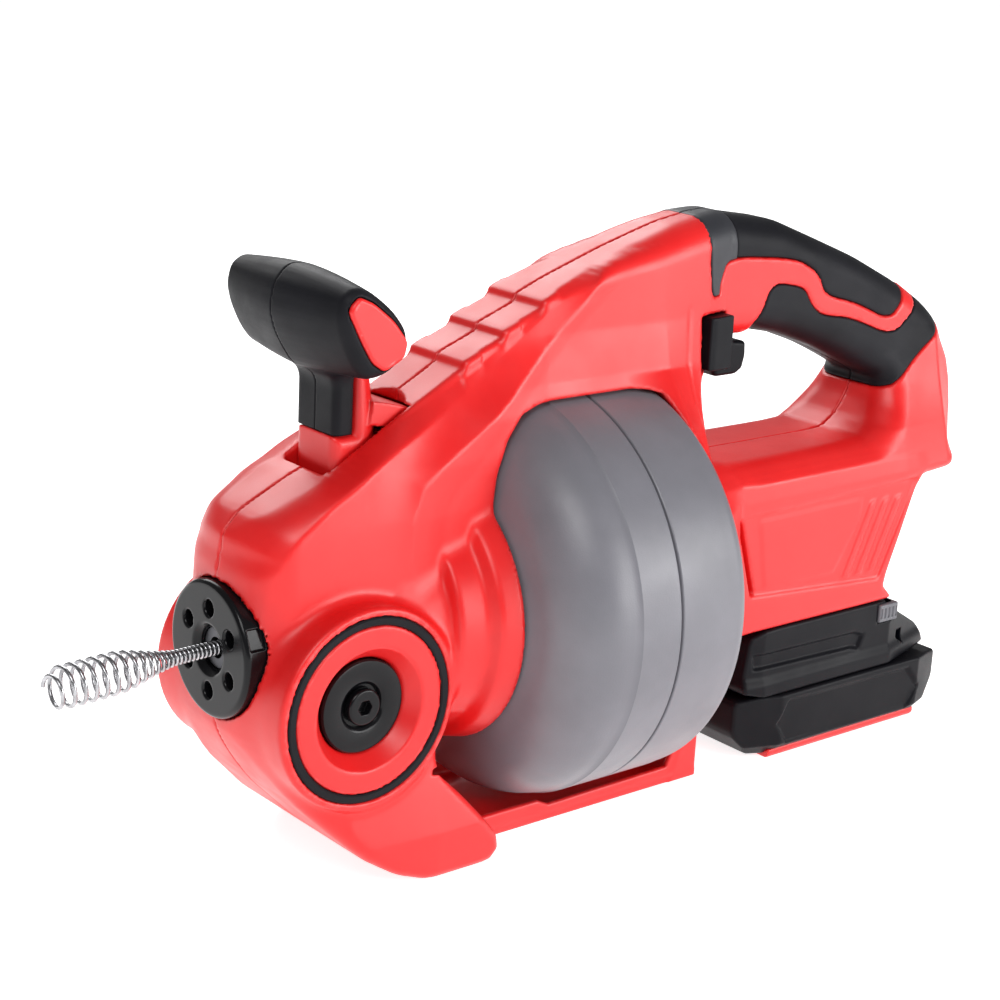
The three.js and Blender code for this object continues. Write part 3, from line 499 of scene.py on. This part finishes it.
def edge_radius(x, z):
    """Rounding along the outline: large on the head, the cowl's rear and the handle, small on the steps."""
    top = ramp(z, 132, 142)
    radius = 4 + 6 * (1 - ramp(x, -146, -120)) * top + 2.5 * (1 - ramp(x, -125, -100))
    return radius + 9.5 * ramp(x, -6, 72) * top - 1.4 * ramp(x, -100, -80) * (1 - ramp(x, -12, 4)) * top


CHART_STEP = 0.6
outline_chart = Chart(outline_distance, CHART_LOW, CHART_HIGH, CHART_STEP)
width_chart = Chart(side_width, CHART_LOW, CHART_HIGH, CHART_STEP, blur=1)
radius_chart = Chart(edge_radius, CHART_LOW, CHART_HIGH, 2)


def slope_factor(x, z):
    dx = (width_chart(x + 1, z) - width_chart(x - 1, z)) / 2
    dz = (width_chart(x, z + 1) - width_chart(x, z - 1)) / 2
    return 1 / np.sqrt(1 + dx ** 2 + dz ** 2)


slope_chart = Chart(slope_factor, CHART_LOW, CHART_HIGH, 2)


def body_distance(x, v, z, inset=0.0):
    side = (v - width_chart(x, z) + inset) * slope_chart(x, z)
    return edge(outline_chart(x, z) + inset, side, radius_chart(x, z))


# ---------------------------------------------------------------- round shapes about the drum axis
def turned(outline, corner=0.12):
    outline = soften(outline, corner, 2)
    return Chart(lambda x, r: polygon(outline, x, r), (-110, -2), (112, 112), 0.6)


bell_chart = turned(
    [(-96, -9), (-96, 40), (-74, 44), (-72, 49), (-60, 51), (-57, 56), (-45, 59.2), (-41, 59.2), (-41, -9)], 0.1)
bell_inside_chart = turned([(-70, -9), (-70, 24), (-61, 43.5), (-54.5, 52.2), (-36, 56.6), (-36, -9)])
drum_room_chart = turned([
    (-86, -9), (-86, 16), (-68, 16), (-50.5, 52), (-47, 57), (-44.6, 70.8), (-39, 82.6), (-30.8, 90.2),
    (-20, 92.5), (51.8, 92.5), (51.8, -9)], 0.1)
rim_room_chart = turned([(-44.8, -9), (-44.8, 63.2), (-20, 98), (20, 98), (20, -9)], 0.05)

GRIP_UPPER = [
    (200, 270), (226, 226), (214, 209), (204, 200), (181, 210), (158, 216), (152, 227), (137, 234.5),
    (93, 238.5), (88, 228), (88, 222), (81.5, 222), (79.2, 245), (78.2, 270),
]
GRIP_LOWER = [
    (113, 202), (117, 212), (121, 222), (127, 224.5), (144, 221), (150, 212), (157, 207), (177, 204),
    (207, 192.5), (223, 205), (238, 222), (252, 200), (240, 191), (218, 178), (202, 165), (150, 170), (110, 192),
]
GRIP_SKIN = 2.2
grip_charts = {
    name: Chart(lambda x, z, o=soften(region, 0.2, 2): polygon(o, x, z), (70, 150), (262, 270), 0.6)
    for name, region in (("upper", GRIP_UPPER), ("lower", GRIP_LOWER))
}

PIVOT = (-114, 80)
BOSS = {"radius": 42, "face": 46, "ring": (34.9, 38.4), "dish": 25.3, "hub": 19.4}
SLOT = {"front": -117, "rear": -72, "half": 15.1}
SLOT_TURN = SLOT["rear"] - SLOT["half"]  # centre of the slot's round rear end
SCREWS = [(-142, 60), (-60, 160), (70, 62), (250, 168)]


def boss_cuts(x, v, z):
    rho = np.hypot(x - PIVOT[0], z - PIVOT[1])
    groove = np.maximum(span(rho, BOSS["ring"][0] - GAP, BOSS["ring"][1] + GAP), 43.7 - v)
    cone_radius = BOSS["hub"] + (BOSS["dish"] - BOSS["hub"]) * np.clip((v - 38.5) / 7.5, 0, 3)
    dish = np.maximum((rho - cone_radius - GAP) * 0.8, 34.0 - v)
    return np.minimum(np.minimum(groove, dish), np.maximum(rho - 5.3, 20 - v))


def lever_room(x, y, z):
    v = abs(y)
    cavity = np.minimum(
        box(x, y, z, (-134, -27, 62), (-88, 27, 153)), box(x, y, z, (-100, -27, 126), (-84, 27, 153)))
    front = edge(SLOT["front"] - x, v - SLOT["half"], 3.5)
    straight = np.maximum(np.maximum(front, x + 87), 140 - z)
    rounded = np.maximum(np.hypot(x - SLOT_TURN, v) - SLOT["half"], 140 - z)
    slot = np.minimum(straight, rounded)
    reach = np.hypot(x - PIVOT[0], z - PIVOT[1])
    angle = np.degrees(np.arctan2(z - PIVOT[1], x - PIVOT[0]))
    shield = np.maximum(np.maximum(span(reach, 104, 117.4), v - SLOT["half"]), span(angle, 53.5, 76) * 1.9)
    return np.minimum(np.minimum(cavity, slot), shield)


def rod_x(r, x, radius, low, high):
    return np.maximum(r - radius, span(x, low, high))


def inner_room(x, y, z, r):
    """Everything that the housing holds clear for the nose, drive, controls, battery and foot."""
    rooms = [
        rod_x(r, x, 28.5, -175, -148), rod_x(r, x, 18.3, -150, -137), rod_x(r, x, 6, -138, -133),
        rod_x(r, x, 22.2, -86, -69), rod_x(r, x, 7.5, -90, -80), rod_x(r, x, 8, 48, 82), rod_x(r, x, 16.3, 57, 66),
        rod_x(r, x, 29.6, 79, 104.3), rod_x(r, x, 24.3, 104, 176),
        box(x, y, z, (107, -17, 65), (119, 17, 76)), box(x, y, z, (119, -20.5, 55), (250, 20.5, 73)),
        box(x, y, z, (96.5, -8.8, 170), (122, 8.8, 216)), box(x, y, z, (98, -8.5, 212), (136, 8.5, 236)),
        box(x, y, z, (75.5, -80, 189.2), (93.8, 80, 214.8), 1.0),
        box(x, y, z, (-80, -44, 4), (-30, 44, 46)),
        box(x, y, z, (-70.2, -30.3, -8), (-30, 30.3, 14)), box(x, y, z, (40, -31, -8), (86, 31, 26)),
        box(x, y, z, (228.6, -15, 145.6), (232.4, 15, 176.4)),
    ]
    result = rooms[0]
    for room in rooms[1:]:
        result = np.minimum(result, room)
    return result


def housing_field(side):
    def field(x, y, z):
        v = side * y
        r = np.hypot(y, z - AXIS_Z)
        body = body_distance(x, v, z)
        boss = edge(np.hypot(x - PIVOT[0], z - PIVOT[1]) - BOSS["radius"], v - BOSS["face"], 2.2)
        solid = smooth_min(smooth_min(body, bell_chart(x, r), 3.5), boss, 5)
        pads = np.minimum(grip_charts["upper"](x, z), grip_charts["lower"](x, z))
        pocket = np.maximum(np.maximum(pads, 80 - x), -(body + GRIP_SKIN + GAP))
        solid = np.maximum(solid, -pocket)
        room = np.minimum(drum_room_chart(x, r), bell_inside_chart(x, r))
        rim = np.maximum(rim_room_chart(x, r), z - 112)
        solid = smooth_max(solid, -np.minimum(room, rim), 1.6)
        solid = np.maximum(solid, -boss_cuts(x, v, z))
        solid = np.maximum(solid, -lever_room(x, y, z))
        solid = np.maximum(solid, -inner_room(x, y, z, r))
        for sx, sz in SCREWS:
            reach = np.hypot(x - sx, z - sz)
            solid = np.maximum(solid, -np.maximum(reach - 1.9, abs(y) - 12))
            solid = np.maximum(solid, -np.maximum(reach - 3.7, 9.4 - y))
        return np.maximum(solid, SEAM - v)

    return field


def build_housing():
    for word, side in SIDES:
        low = (-161, -66, -1.5) if side < 0 else (-161, -1.5, -1.5)
        high = (268, 1.5, 261) if side < 0 else (268, 66, 261)
        shell = moulding(f"{word}_housing_shell", housing_field(side), low, high, 1.15, materials["red_plastic"])
        fit(shell, "housing", "red_plastic", f"{word}_housing")


COLLAR = [(60, 300), (60, 200), (92.5, 200), (96.5, 225), (98.5, 240), (98, 250), (94, 300)]


def collar_edge(x, z):
    """Signed distance to the raised collar at the front end of the upper pad."""
    return polygon(COLLAR, x, z)


def pad_field(side, name):
    chart = grip_charts[name]

    def field(x, y, z):
        v = side * y
        body = body_distance(x, v, z)
        skin = np.maximum(body, -(body + GRIP_SKIN))
        region = np.maximum(chart(x, z) + GAP, 79 - x)
        if name == "upper":
            skin = np.maximum(body + 0.5, -(body + GRIP_SKIN))
            region = np.maximum(region, -collar_edge(x, z))
        trigger_room = box(x, y, z, (96.5, -8.8, 170), (122, 8.8, 216))
        solid = np.maximum(smooth_max(skin, region, 1.2), SEAM - v)
        return np.maximum(solid, -trigger_room)

    return field


def collar_field(side):
    def field(x, y, z):
        v = side * y
        body = body_distance(x, v, z)
        region = np.maximum(np.maximum(grip_charts["upper"](x, z) + GAP, 79 - x), collar_edge(x, z) + 0.05)
        skin = np.maximum(body - 0.3, -(body + GRIP_SKIN))
        return np.maximum(smooth_max(skin, region, 1.2), SEAM - v)

    return field


def build_grips():
    for word, side in SIDES:
        for name, low, high in (("upper", (76, 195), (230, 262)), ("lower", (104, 160), (256, 228))):
            ys = (-28, 1.5) if side < 0 else (-1.5, 28)
            pad = moulding(
                f"{name}_grip_pad_{word}", pad_field(side, name), (low[0], ys[0], low[1]),
                (high[0], ys[1], high[1]), 0.8, materials["black_rubber"])
            fit(pad, "housing", "black_rubber", f"grip_{name}_{word}")
        ys = (-28, 1.5) if side < 0 else (-1.5, 28)
        collar = moulding(
            f"grip_collar_{word}", collar_field(side), (76, ys[0], 218), (102, ys[1], 262), 0.8,
            materials["collar_rubber"])
        fit(collar, "housing", "black_rubber")


# ---------------------------------------------------------------- turned pieces
def lathe(name, outline, material, axis="x", centre=(0, 0, AXIS_Z), segments=128, angle=28):
    """A closed outline of (distance along the axis, radius), turned about an axis through the centre."""
    turn = np.linspace(0, 2 * math.pi, segments, endpoint=False)
    points = []
    for along, radius in outline:
        for a in turn:
            u, w = radius * math.cos(a), radius * math.sin(a)
            points.append((along, u, w) if axis == "x" else (u, along, w))
    count = len(outline)
    faces = []
    for i in range(count):
        for j in range(segments):
            k = (j + 1) % segments
            n = (i + 1) % count
            quad = [i * segments + j, i * segments + k, n * segments + k, n * segments + j]
            faces.append(quad if axis == "x" else quad[::-1])
    points = (np.array(points) + np.array(centre)) * MM
    piece = new_mesh(name, points, faces, material, angle)
    tidy(piece)
    return piece


def tidy(piece):
    """Joins the points on the axis and turns every face outwards."""
    import bmesh

    work = bmesh.new()
    work.from_mesh(piece.data)
    bmesh.ops.remove_doubles(work, verts=work.verts, dist=1e-6)
    bmesh.ops.recalc_face_normals(work, faces=work.faces)
    work.to_mesh(piece.data)
    work.free()


def fillet(centre, radius, start, end, steps=8):
    turn = np.radians(np.linspace(start, end, steps + 1))
    return [(centre[0] + radius[0] * math.cos(a), centre[1] + radius[1] * math.sin(a)) for a in turn]


def groove(x, radius, width=0.7, depth=0.7):
    low = radius - depth
    return [(x - width, radius), (x - width / 3, low), (x + width / 3, low), (x + width, radius)]


DRUM_RADIUS = 90.7


def build_drum():
    outer = [(-84, 14), (-66.5, 14), (-48.6, 49.4)]
    outer += fillet((-14, 58), (30.5, 31.6), 172, 93, 14)
    outer += [(-13.2, 90.1), (-12.2, DRUM_RADIUS)]
    outer += [(8.3, DRUM_RADIUS), (8.8, DRUM_RADIUS - 0.3), (9.2, DRUM_RADIUS - 1.2)]
    inner = [(9.2, 86), (-20, 85), (-34, 77), (-41, 62), (-43, 50), (-62, 17), (-66, 11), (-84, 11)]
    front = lathe("drum_front_cover", outer + inner, materials["grey_plastic"])
    fit(front, "drum", "grey_plastic", "drum_front_shell")
    outer = [(9.8, DRUM_RADIUS - 1.2), (10.1, DRUM_RADIUS - 0.3), (10.5, DRUM_RADIUS)]
    outer += [(36, DRUM_RADIUS), (38, DRUM_RADIUS - 0.3)]
    outer += fillet((42, DRUM_RADIUS - 9), (8, 8.6), 90, 0, 8)
    outer += [(50, 60), (48.6, 56), (48.6, 30), (50, 26), (50, 12.4)]
    inner = [(47, 12.4), (47, 82), (42, 87), (9.8, 87)]
    rear = lathe("drum_rear_cover", outer + inner, materials["grey_plastic"])
    fit(rear, "drum", "grey_plastic", "drum_rear_shell")


# ---------------------------------------------------------------- nose
def nose_field(x, y, z):
    dz = z - AXIS_Z
    r = np.hypot(y, dz)
    disc = edge(r - 28, span(x, -160, -148.3), 2.2)
    solid = np.minimum(disc, np.maximum(r - 18, span(x, -149, -140)))
    solid = np.maximum(solid, 8.5 - r)
    solid = smooth_max(solid, -(np.hypot(np.maximum(r - 5, 0), (x + 163.5)) - 6.6), 1.0)
    for i in range(6):
        a = math.radians(60 * i + 30)
        reach = np.hypot(y - 17 * math.cos(a), dz - 17 * math.sin(a))
        hole = np.maximum(reach - 3.3 - np.maximum(0, -159.2 - x) * 0.8, x + 153)
        solid = np.maximum(solid, -hole)
    turn = math.radians(23)
    out = -y * math.cos(turn) + dz * math.sin(turn)
    along = y * math.sin(turn) + dz * math.cos(turn)
    notch = np.maximum(np.maximum(26.6 - out, abs(along) - 4.2), span(x, -157.6, -151))
    return np.maximum(solid, -notch)


def build_nose():
    cap = moulding(
        "nose_disc", nose_field, (-161.5, -29.5, 70.5), (-138.5, 29.5, 129.5), 0.5, materials["gloss_black"])
    fit(cap, "housing", "gloss_black", "nose_cap")


# ---------------------------------------------------------------- boss fittings
def build_boss():
    centre = (PIVOT[0], 0, PIVOT[1])
    for word, side in SIDES:
        seal = [(44, 34.9), (44, 38.4), (45.7, 38.4), (46.2, 37.8), (46.2, 35.5), (45.7, 34.9)]
        ring = lathe(
            f"boss_seal_{word}", [(side * a, r) for a, r in seal], materials["black_rubber"], "y", centre)
        fit(ring, "housing", "black_rubber", f"boss_ring_{word}")
        hub = [
            (34.3, 5.4), (34.3, 19.2), (40.0, 19.4), (40.8, 18.8), (41.0, 18), (40.9, 11), (40.4, 9.9), (39.3, 9.0),
            (38.2, 8.9), (38.2, 5.4),
        ]
        disc = lathe(f"boss_disc_{word}", [(side * a, r) for a, r in hub], materials["gloss_black"], "y", centre)
        fit(disc, "housing", "gloss_black", f"boss_hub_{word}")
        ys = (-43, -18.5) if side < 0 else (18.5, 43)
        bolt = moulding(
            f"pivot_bolt_head_{word}", bolt_field(side), (-122.5, ys[0], 71.5), (-105.5, ys[1], 88.5), 0.4,
            materials["gloss_black"])
        fit(bolt, "housing", "bright_steel", f"pivot_bolt_{word}")


def bolt_field(side):
    def field(x, y, z):
        v = side * y
        rho = np.hypot(x - PIVOT[0], z - PIVOT[1])
        head = edge(rho - 7.6, span(v, 38.5, 42.4), 1.2)
        shank = np.maximum(rho - 5, span(v, 19.6, 40))
        a = np.arctan2(z - PIVOT[1], x - PIVOT[0])
        socket = np.maximum(rho * np.cos((a % (math.pi / 3)) - math.pi / 6) - 2.9, 39.0 - v)
        return np.maximum(np.minimum(head, shank), -socket)

    return field


# ---------------------------------------------------------------- cable
def build_cable():
    """Wire wound into the cable, opening into the wide spring at its tip."""
    wire = 0.85
    points = []
    x, angle = -229.0, 0.0
    steps = 20
    while x < -60:
        if x < -203:
            radius, pitch = 7.85 * ramp(x, -235, -224), 4.6
        else:
            t = ramp(x, -203, -172)
            radius, pitch = 7.85 - 5.55 * t, 4.6 - 2.7 * t
        sag = 3.0 * ramp(-x, 150, 250)
        points.append((x, radius * math.cos(angle), radius * math.sin(angle) - sag))
        angle += 2 * math.pi / steps
        x += pitch / steps
    curve = bpy.data.curves.new("cable_winding", "CURVE")
    curve.dimensions = "3D"
    curve.bevel_depth = wire * MM
    curve.bevel_resolution = 3
    curve.use_fill_caps = True
    spline = curve.splines.new("POLY")
    spline.points.add(len(points) - 1)
    for point, (px, py, pz) in zip(spline.points, points):
        point.co = (px * MM, py * MM, (pz + AXIS_Z) * MM, 1)
    curve.materials.append(materials["cable_steel"])
    cable = bpy.data.objects.new("cable_winding", curve)
    bpy.context.scene.collection.objects.link(cable)
    fit(cable, "cable", "cable_steel", "cable")


# ---------------------------------------------------------------- feed lever
BAR_END = soften([
    (-129.5, 236), (-127.5, 244), (-121.5, 247.5), (-115, 245.2), (-104, 236.5), (-97.3, 228.5), (-97.3, 220),
    (-104, 213.5), (-110, 211.2), (-117, 211), (-123, 218.5), (-127.5, 228),
], 0.2, 2)
CAP_DROP = soften([
    (-126.3, 238), (-125.2, 241), (-121.7, 244), (-114.9, 241), (-105.4, 233.5), (-98.6, 225), (-100, 218.6),
    (-109, 214), (-115, 217.8), (-120.4, 226.5),
], 0.15, 2)
BAR_END_Y = 41.2  # half-length of the lever's cross bar
BAR_MIDDLE = soften([
    (-134.3, 233.3), (-132.5, 243.5), (-126, 250.2), (-117, 249.8), (-106, 245), (-98, 238), (-94.5, 229),
    (-96, 219), (-104, 211.5), (-114, 208), (-123, 210.3), (-131.5, 223.5),
], 0.2, 2)
bar_middle_chart = Chart(lambda x, z: polygon(BAR_MIDDLE, x, z), (-140, 165), (-85, 256), 0.5)
bar_end_chart = Chart(lambda x, z: polygon(BAR_END, x, z), (-140, 165), (-85, 256), 0.5)
cap_chart = Chart(lambda x, z: polygon(CAP_DROP, x, z), (-140, 165), (-85, 256), 0.5)


COVER_FOOT = 182.3  # height where the soft cover starts on the post


def lever_cover_field(side):
    def field(x, y, z):
        v = side * y
        t = np.clip(v / BAR_END_Y, 0, 1) ** 1.5
        section = bar_middle_chart(x, z) * (1 - t) + (bar_end_chart(x, z) + 0.6) * t
        bar = edge(section, v - BAR_END_Y, 4.5)
        post = edge(span(x, -112, -102.3), v - 14, 3.5)
        post = np.maximum(np.maximum(post, COVER_FOOT + GAP - z), z - 232)
        solid = smooth_min(bar, post, 9)
        room = np.minimum(
            np.maximum(np.hypot(x + 115, z - 231) - 10, v - 37.8), box(x, y, z, (-108.3, -6, 200), (-96.7, 6, 231)))
        room = np.minimum(room, box(x, y, z, (-102.3, -14.6, 168), (-80, 14.6, 210.3)))
        room = np.minimum(room, np.maximum(cap_chart(x, z) - GAP, BAR_END_Y - 2.3 - v))
        return np.maximum(np.maximum(solid, -room), SEAM - v)

    return field


def lever_cap_field(side):
    def field(x, y, z):
        return edge(cap_chart(x, z), span(side * y, BAR_END_Y - 2, BAR_END_Y + 0.7), 1.6)

    return field


FULL_TILT = np.radians(8)  # the lever's rear limit, where its post has to clear the slot's round end


def lever_field(x, y, z):
    v = abs(y)
    arm = np.maximum(polygon([(-122, 76), (-106, 76), (-100, 150), (-112, 150)], x, z), span(v, 19.5, 24.5))
    reach = np.hypot(x - PIVOT[0], z - PIVOT[1])
    arm = np.minimum(arm, np.maximum(reach - 11, span(v, 19.5, 24.5)))
    arm = np.maximum(arm, 5.15 - reach)
    bridge = np.maximum(polygon([(-112, 138), (-99, 138), (-96, 150), (-112, 150)], x, z), v - 24.5)
    outline = [
        (-112, 149), (-95, 149), (-90, 180), (-90, 212), (-102, 212), (-102, COVER_FOOT), (-112, COVER_FOOT),
    ]
    post = edge(polygon(outline, x, z), v - 14, 4.5)
    tilted = PIVOT[0] + (x - PIVOT[0]) * np.cos(FULL_TILT) + (z - PIVOT[1]) * np.sin(FULL_TILT)
    post = smooth_max(post, np.hypot(np.maximum(tilted - SLOT_TURN, 0), v) - SLOT["half"] + 0.7, 1.0)
    core = np.maximum(np.hypot(x + 115, z - 231) - 9.7, v - 37.5)
    web = box(x, y, z, (-108, -5.7, 208), (-97, 5.7, 231))
    angle = np.degrees(np.arctan2(z - PIVOT[1], x - PIVOT[0]))
    shield = np.maximum(np.maximum(span(reach, 107, 116.6), span(angle, 62, 80) * 1.9), v - 14)
    solid = np.minimum(np.minimum(arm, bridge), np.minimum(core, web))
    return np.minimum(solid, smooth_min(post, shield, 1.5))


def build_lever():
    lever = moulding("feed_lever_post", lever_field, (-127, -39, 66), (-58, 39, 243), 0.9, materials["red_plastic"])
    fit(lever, "lever", "red_plastic", "feed_lever")
    for word, side in SIDES:
        ys = (-43, 1.5) if side < 0 else (-1.5, 43)
        cover = moulding(
            f"lever_cover_{word}", lever_cover_field(side), (-137, ys[0], 174), (-92, ys[1], 254), 0.7,
            materials["black_rubber"])
        fit(cover, "lever", "black_rubber", f"lever_grip_{word}")
        ys = (-43.5, -38) if side < 0 else (38, 43.5)
        cap = moulding(
            f"lever_end_cap_{word}", lever_cap_field(side), (-128, ys[0], 212), (-97, ys[1], 246), 0.4,
            materials["red_plastic"])
        fit(cap, "lever", "red_plastic", f"lever_cap_{word}")


# ---------------------------------------------------------------- rail
def rail_field(x, y, z):
    v = abs(y)
    floor = box(x, y, z, (-69.7, -30, 0), (84, 30, 3.5), 1)
    outline = [(-69.7, 0), (84, 0), (84, 23), (72, 20), (66, 8), (-4, 7), (-10, 10), (-69.7, 10)]
    wall = edge(polygon(outline, x, z), span(v, 27, 30), 1.2)
    riser = edge(polygon([(68, 0), (84, 0), (84, 23), (76, 23)], x, z), v - 30, 1.5)
    return np.maximum(smooth_min(smooth_min(floor, wall, 1.5), riser, 3), -z)


def build_rail():
    rail = moulding("base_rail", rail_field, (-72, -31.5, -1), (86, 31.5, 25), 0.9, materials["red_plastic"])
    fit(rail, "housing", "red_plastic", "bottom_rail")


# ---------------------------------------------------------------- controls
def trigger_field(x, y, z):
    outline = [
        (98, 206), (98, 186), (101, 181.5), (114, 181.5), (118, 184), (119.5, 190), (119, 196.5), (110.5, 197.5),
        (110.5, 206),
    ]
    return edge(polygon(soften(outline, 0.12, 2), x, z), abs(y) - 8.4, 2.2)


def selector_field(x, y, z):
    v = abs(y)
    bar = box(x, y, z, (79, -25.5, 190), (93.4, 25.5, 214), 1.2)
    slope = np.maximum(81.5 - x, 0) * 0.2 + np.maximum(x - 82.5, 0) * 0.12
    return np.maximum(bar, (v - 25.5 + slope) * 0.9)


def build_controls():
    trigger = moulding(
        "trigger_paddle", trigger_field, (96, -10, 179), (121.5, 10, 208), 0.6, materials["black_plastic"])
    fit(trigger, "trigger", "black_plastic", "trigger")
    bar = moulding(
        "selector_bar", selector_field, (77.5, -27, 188.5), (95, 27, 215.5), 0.6, materials["black_plastic"])
    fit(bar, "selector", "black_plastic", "direction_selector")


# ---------------------------------------------------------------- battery
LOWER_SIDE = [(106, 14), (106, 32.55), (246, 32.55), (246, 17), (231, 1.2), (118, 1.2)]
UPPER_SIDE = [(106, 32.85), (244, 32.85), (238, 44), (212, 58), (206, 65.6), (110, 65.6)]
HEX_PANEL = [(127, 18), (134, 30), (219, 29), (229, 17), (221, 6), (134, 7)]
UPPER_PANEL = [(111, 55), (180, 54), (188, 51.5), (184, 43), (178, 44.5), (112, 46)]


def battery_width(x, z):
    lower = 40 - 0.9 * np.maximum(8 - z, 0) - 0.35 * np.maximum(130 - x, 0) - 0.35 * np.maximum(x - 226, 0)
    lower = lower - 1.6 * ramp(-polygon(HEX_PANEL, x, z), 0, 1.8)
    upper = 38.6 - 2.1 * ramp(z, 38, 44) - 0.3 * np.maximum(x - 205, 0) - 0.2 * np.maximum(118 - x, 0)
    upper = upper - 1.8 * ramp(-polygon(UPPER_PANEL, x, z), 0, 2.2)
    return np.where(z < 32.7, lower, upper)


battery_chart = Chart(battery_width, (100, -4), (252, 72), 0.5)
lower_chart = Chart(lambda x, z: polygon(soften(LOWER_SIDE, 0.1, 2), x, z), (98, -6), (254, 74), 0.5)
upper_chart = Chart(lambda x, z: polygon(soften(UPPER_SIDE, 0.1, 2), x, z), (98, -6), (254, 74), 0.5)


def battery_bottom_field(x, y, z):
    solid = edge(lower_chart(x, z), abs(y) - battery_chart(x, np.minimum(z, 32.4)), 1.4)
    solid = np.maximum(solid, z - 32.55)
    room = np.minimum(
        box(x, y, z, (116, -33, 8), (219, 33, 50)), box(x, y, z, (126, -41, -4), (230, 41, 5)))
    return np.maximum(solid, -room)


def battery_top_field(x, y, z):
    v = abs(y)
    solid = edge(upper_chart(x, z), v - battery_chart(x, np.maximum(z, 33.1)), 1.4)
    solid = np.maximum(solid, 32.85 - z)
    room = box(x, y, z, (116, -33, 20), (219, 33, 47))
    latch = np.maximum(box(x, y, z, (195.7, -60, 54.7), (209.3, 60, 64.3), 0.5), 22 - v)
    solid = np.maximum(solid, -np.minimum(room, latch))
    tongue = np.minimum(
        box(x, y, z, (122, -12, 64.7), (204, 12, 72), 0.5), box(x, y, z, (122, -17, 69), (204, 17, 72), 0.5))
    return np.minimum(solid, tongue)


def strip_field(x, y, z):
    return edge(edge(span(x, 126.3, 229.7), span(z, 0, 4.7), 1.0), abs(y) - 36.4 + 0.8 * np.maximum(2 - z, 0), 0.8)


def latch_field(side):
    def field(x, y, z):
        v = side * y
        button = box(x, v, z, (196, 25, 55), (209, 37.6, 64), 0.9)
        ribs = np.maximum(span((x - 196) % 2.6, 0.7, 1.9), 37.0 - v)
        return np.maximum(button, -np.maximum(ribs, span(z, 57, 62)))

    return field


def build_battery():
    black = materials["black_plastic"]
    pieces = [
        ("battery_lower_shell", battery_bottom_field, (104, -42, 0), (248, 42, 34), 0.9, black,
         "black_plastic", "battery_bottom_case"),
        ("battery_upper_shell", battery_top_field, (104, -42, 31), (248, 42, 73.5), 0.9, black,
         "black_plastic", "battery_top_case"),
        ("battery_skid", strip_field, (125, -38, -1), (231, 38, 6), 0.8, materials["red_plastic"],
         "red_plastic", "battery_base_strip"),
    ]
    for name, field, low, high, step, material, slot, node in pieces:
        fit(moulding(name, field, low, high, step, material), "battery", slot, node)
    for word, side in SIDES:
        ys = (-39, -24) if side < 0 else (24, 39)
        button = moulding(
            f"latch_button_{word}", latch_field(side), (195, ys[0], 54), (210, ys[1], 65), 0.5,
            materials["grey_latch"])
        fit(button, f"latch_{word}", "grey_latch", f"battery_latch_{word}")


# ---------------------------------------------------------------- CAD nodes that stay
def dress_nodes():
    """Gives each CAD node that still shows the material of its slot in the record."""
    slots = {part["node"]: part["material_slot"] for part in frame["record"]["subparts"]}
    for name, node in frame["nodes"].items():
        node.data.materials.clear()
        node.data.materials.append(materials[slots[name]])


# ---------------------------------------------------------------- camera, floor and light
def aim(thing, place, target):
    thing.location = place
    thing.rotation_euler = (Vector(target) - Vector(place)).to_track_quat("-Z", "Y").to_euler()


def build_camera():
    """Looks at the nose and left side from a little above, with a slight roll."""
    azimuth, elevation, roll = math.radians(-39.955), math.radians(16.155), math.radians(2.865)
    back = Vector((
        math.sin(azimuth) * math.cos(elevation), -math.cos(azimuth) * math.cos(elevation), math.sin(elevation)))
    right = Vector((math.cos(azimuth), math.sin(azimuth), 0))
    up = back.cross(right)
    across = right * math.cos(roll) + up * math.sin(roll)
    upward = up * math.cos(roll) - right * math.sin(roll)
    data = bpy.data.cameras.new("camera")
    data.sensor_width = 36
    data.lens = 79.2
    data.shift_y = -0.0121
    data.clip_end = 50
    camera = bpy.data.objects.new("camera", data)
    turn = Matrix((across, upward, back)).transposed().to_4x4()
    camera.matrix_world = Matrix.Translation(Vector((-0.5923, -0.6885, 0.4048))) @ turn
    bpy.context.scene.collection.objects.link(camera)
    bpy.context.scene.camera = camera


def add_light(name, place, target, size, power, colour=(1, 1, 1)):
    data = bpy.data.lights.new(name, "AREA")
    data.shape = "RECTANGLE"
    data.size, data.size_y = size
    data.energy = power
    data.color = colour
    lamp = bpy.data.objects.new(name, data)
    bpy.context.scene.collection.objects.link(lamp)
    aim(lamp, place, target)


def build_studio():
    world = bpy.data.worlds.new("studio")
    world.use_nodes = True
    background = world.node_tree.nodes["Background"]
    background.inputs["Color"].default_value = (1, 1, 1, 1)
    background.inputs["Strength"].default_value = 0.22
    bpy.context.scene.world = world
    middle = (0.02, 0, 0.12)
    add_light("key_light", (-1.0, -1.1, 1.5), middle, (0.9, 0.9), 16)
    add_light("back_light", (0.35, 1.3, 1.2), middle, (1.5, 1.0), 22)
    add_light("panel_light", (1.5, -1.7, 0.62), middle, (1.3, 0.8), 25)
    add_light("side_light", (0.55, -1.7, 0.40), (0.06, 0, 0.16), (0.5, 0.9), 8)
    reach = 30
    floor = new_mesh(
        "studio_floor", [(-reach, -reach, 0), (reach, -reach, 0), (reach, reach, 0), (-reach, reach, 0)],
        [(0, 1, 2, 3)], floor_material())
    bpy.context.scene.view_settings.view_transform = "Standard"


def floor_material():
    m = Nodes("studio_floor")
    m.colour(m.mix(m.remap(m.noise(3, 2), 0.3, 0.7, 0, 1), (0.86, 0.86, 0.86), (0.88, 0.88, 0.88)))
    m.set(Roughness=0.7, Emission_Color=(1, 1, 1, 1), Emission_Strength=0.84)
    return m.material


build_camera()
build_studio()
dress_nodes()
build_housing()
build_grips()
build_drum()
build_nose()
build_boss()
build_cable()
build_lever()
build_rail()
build_controls()
build_battery()
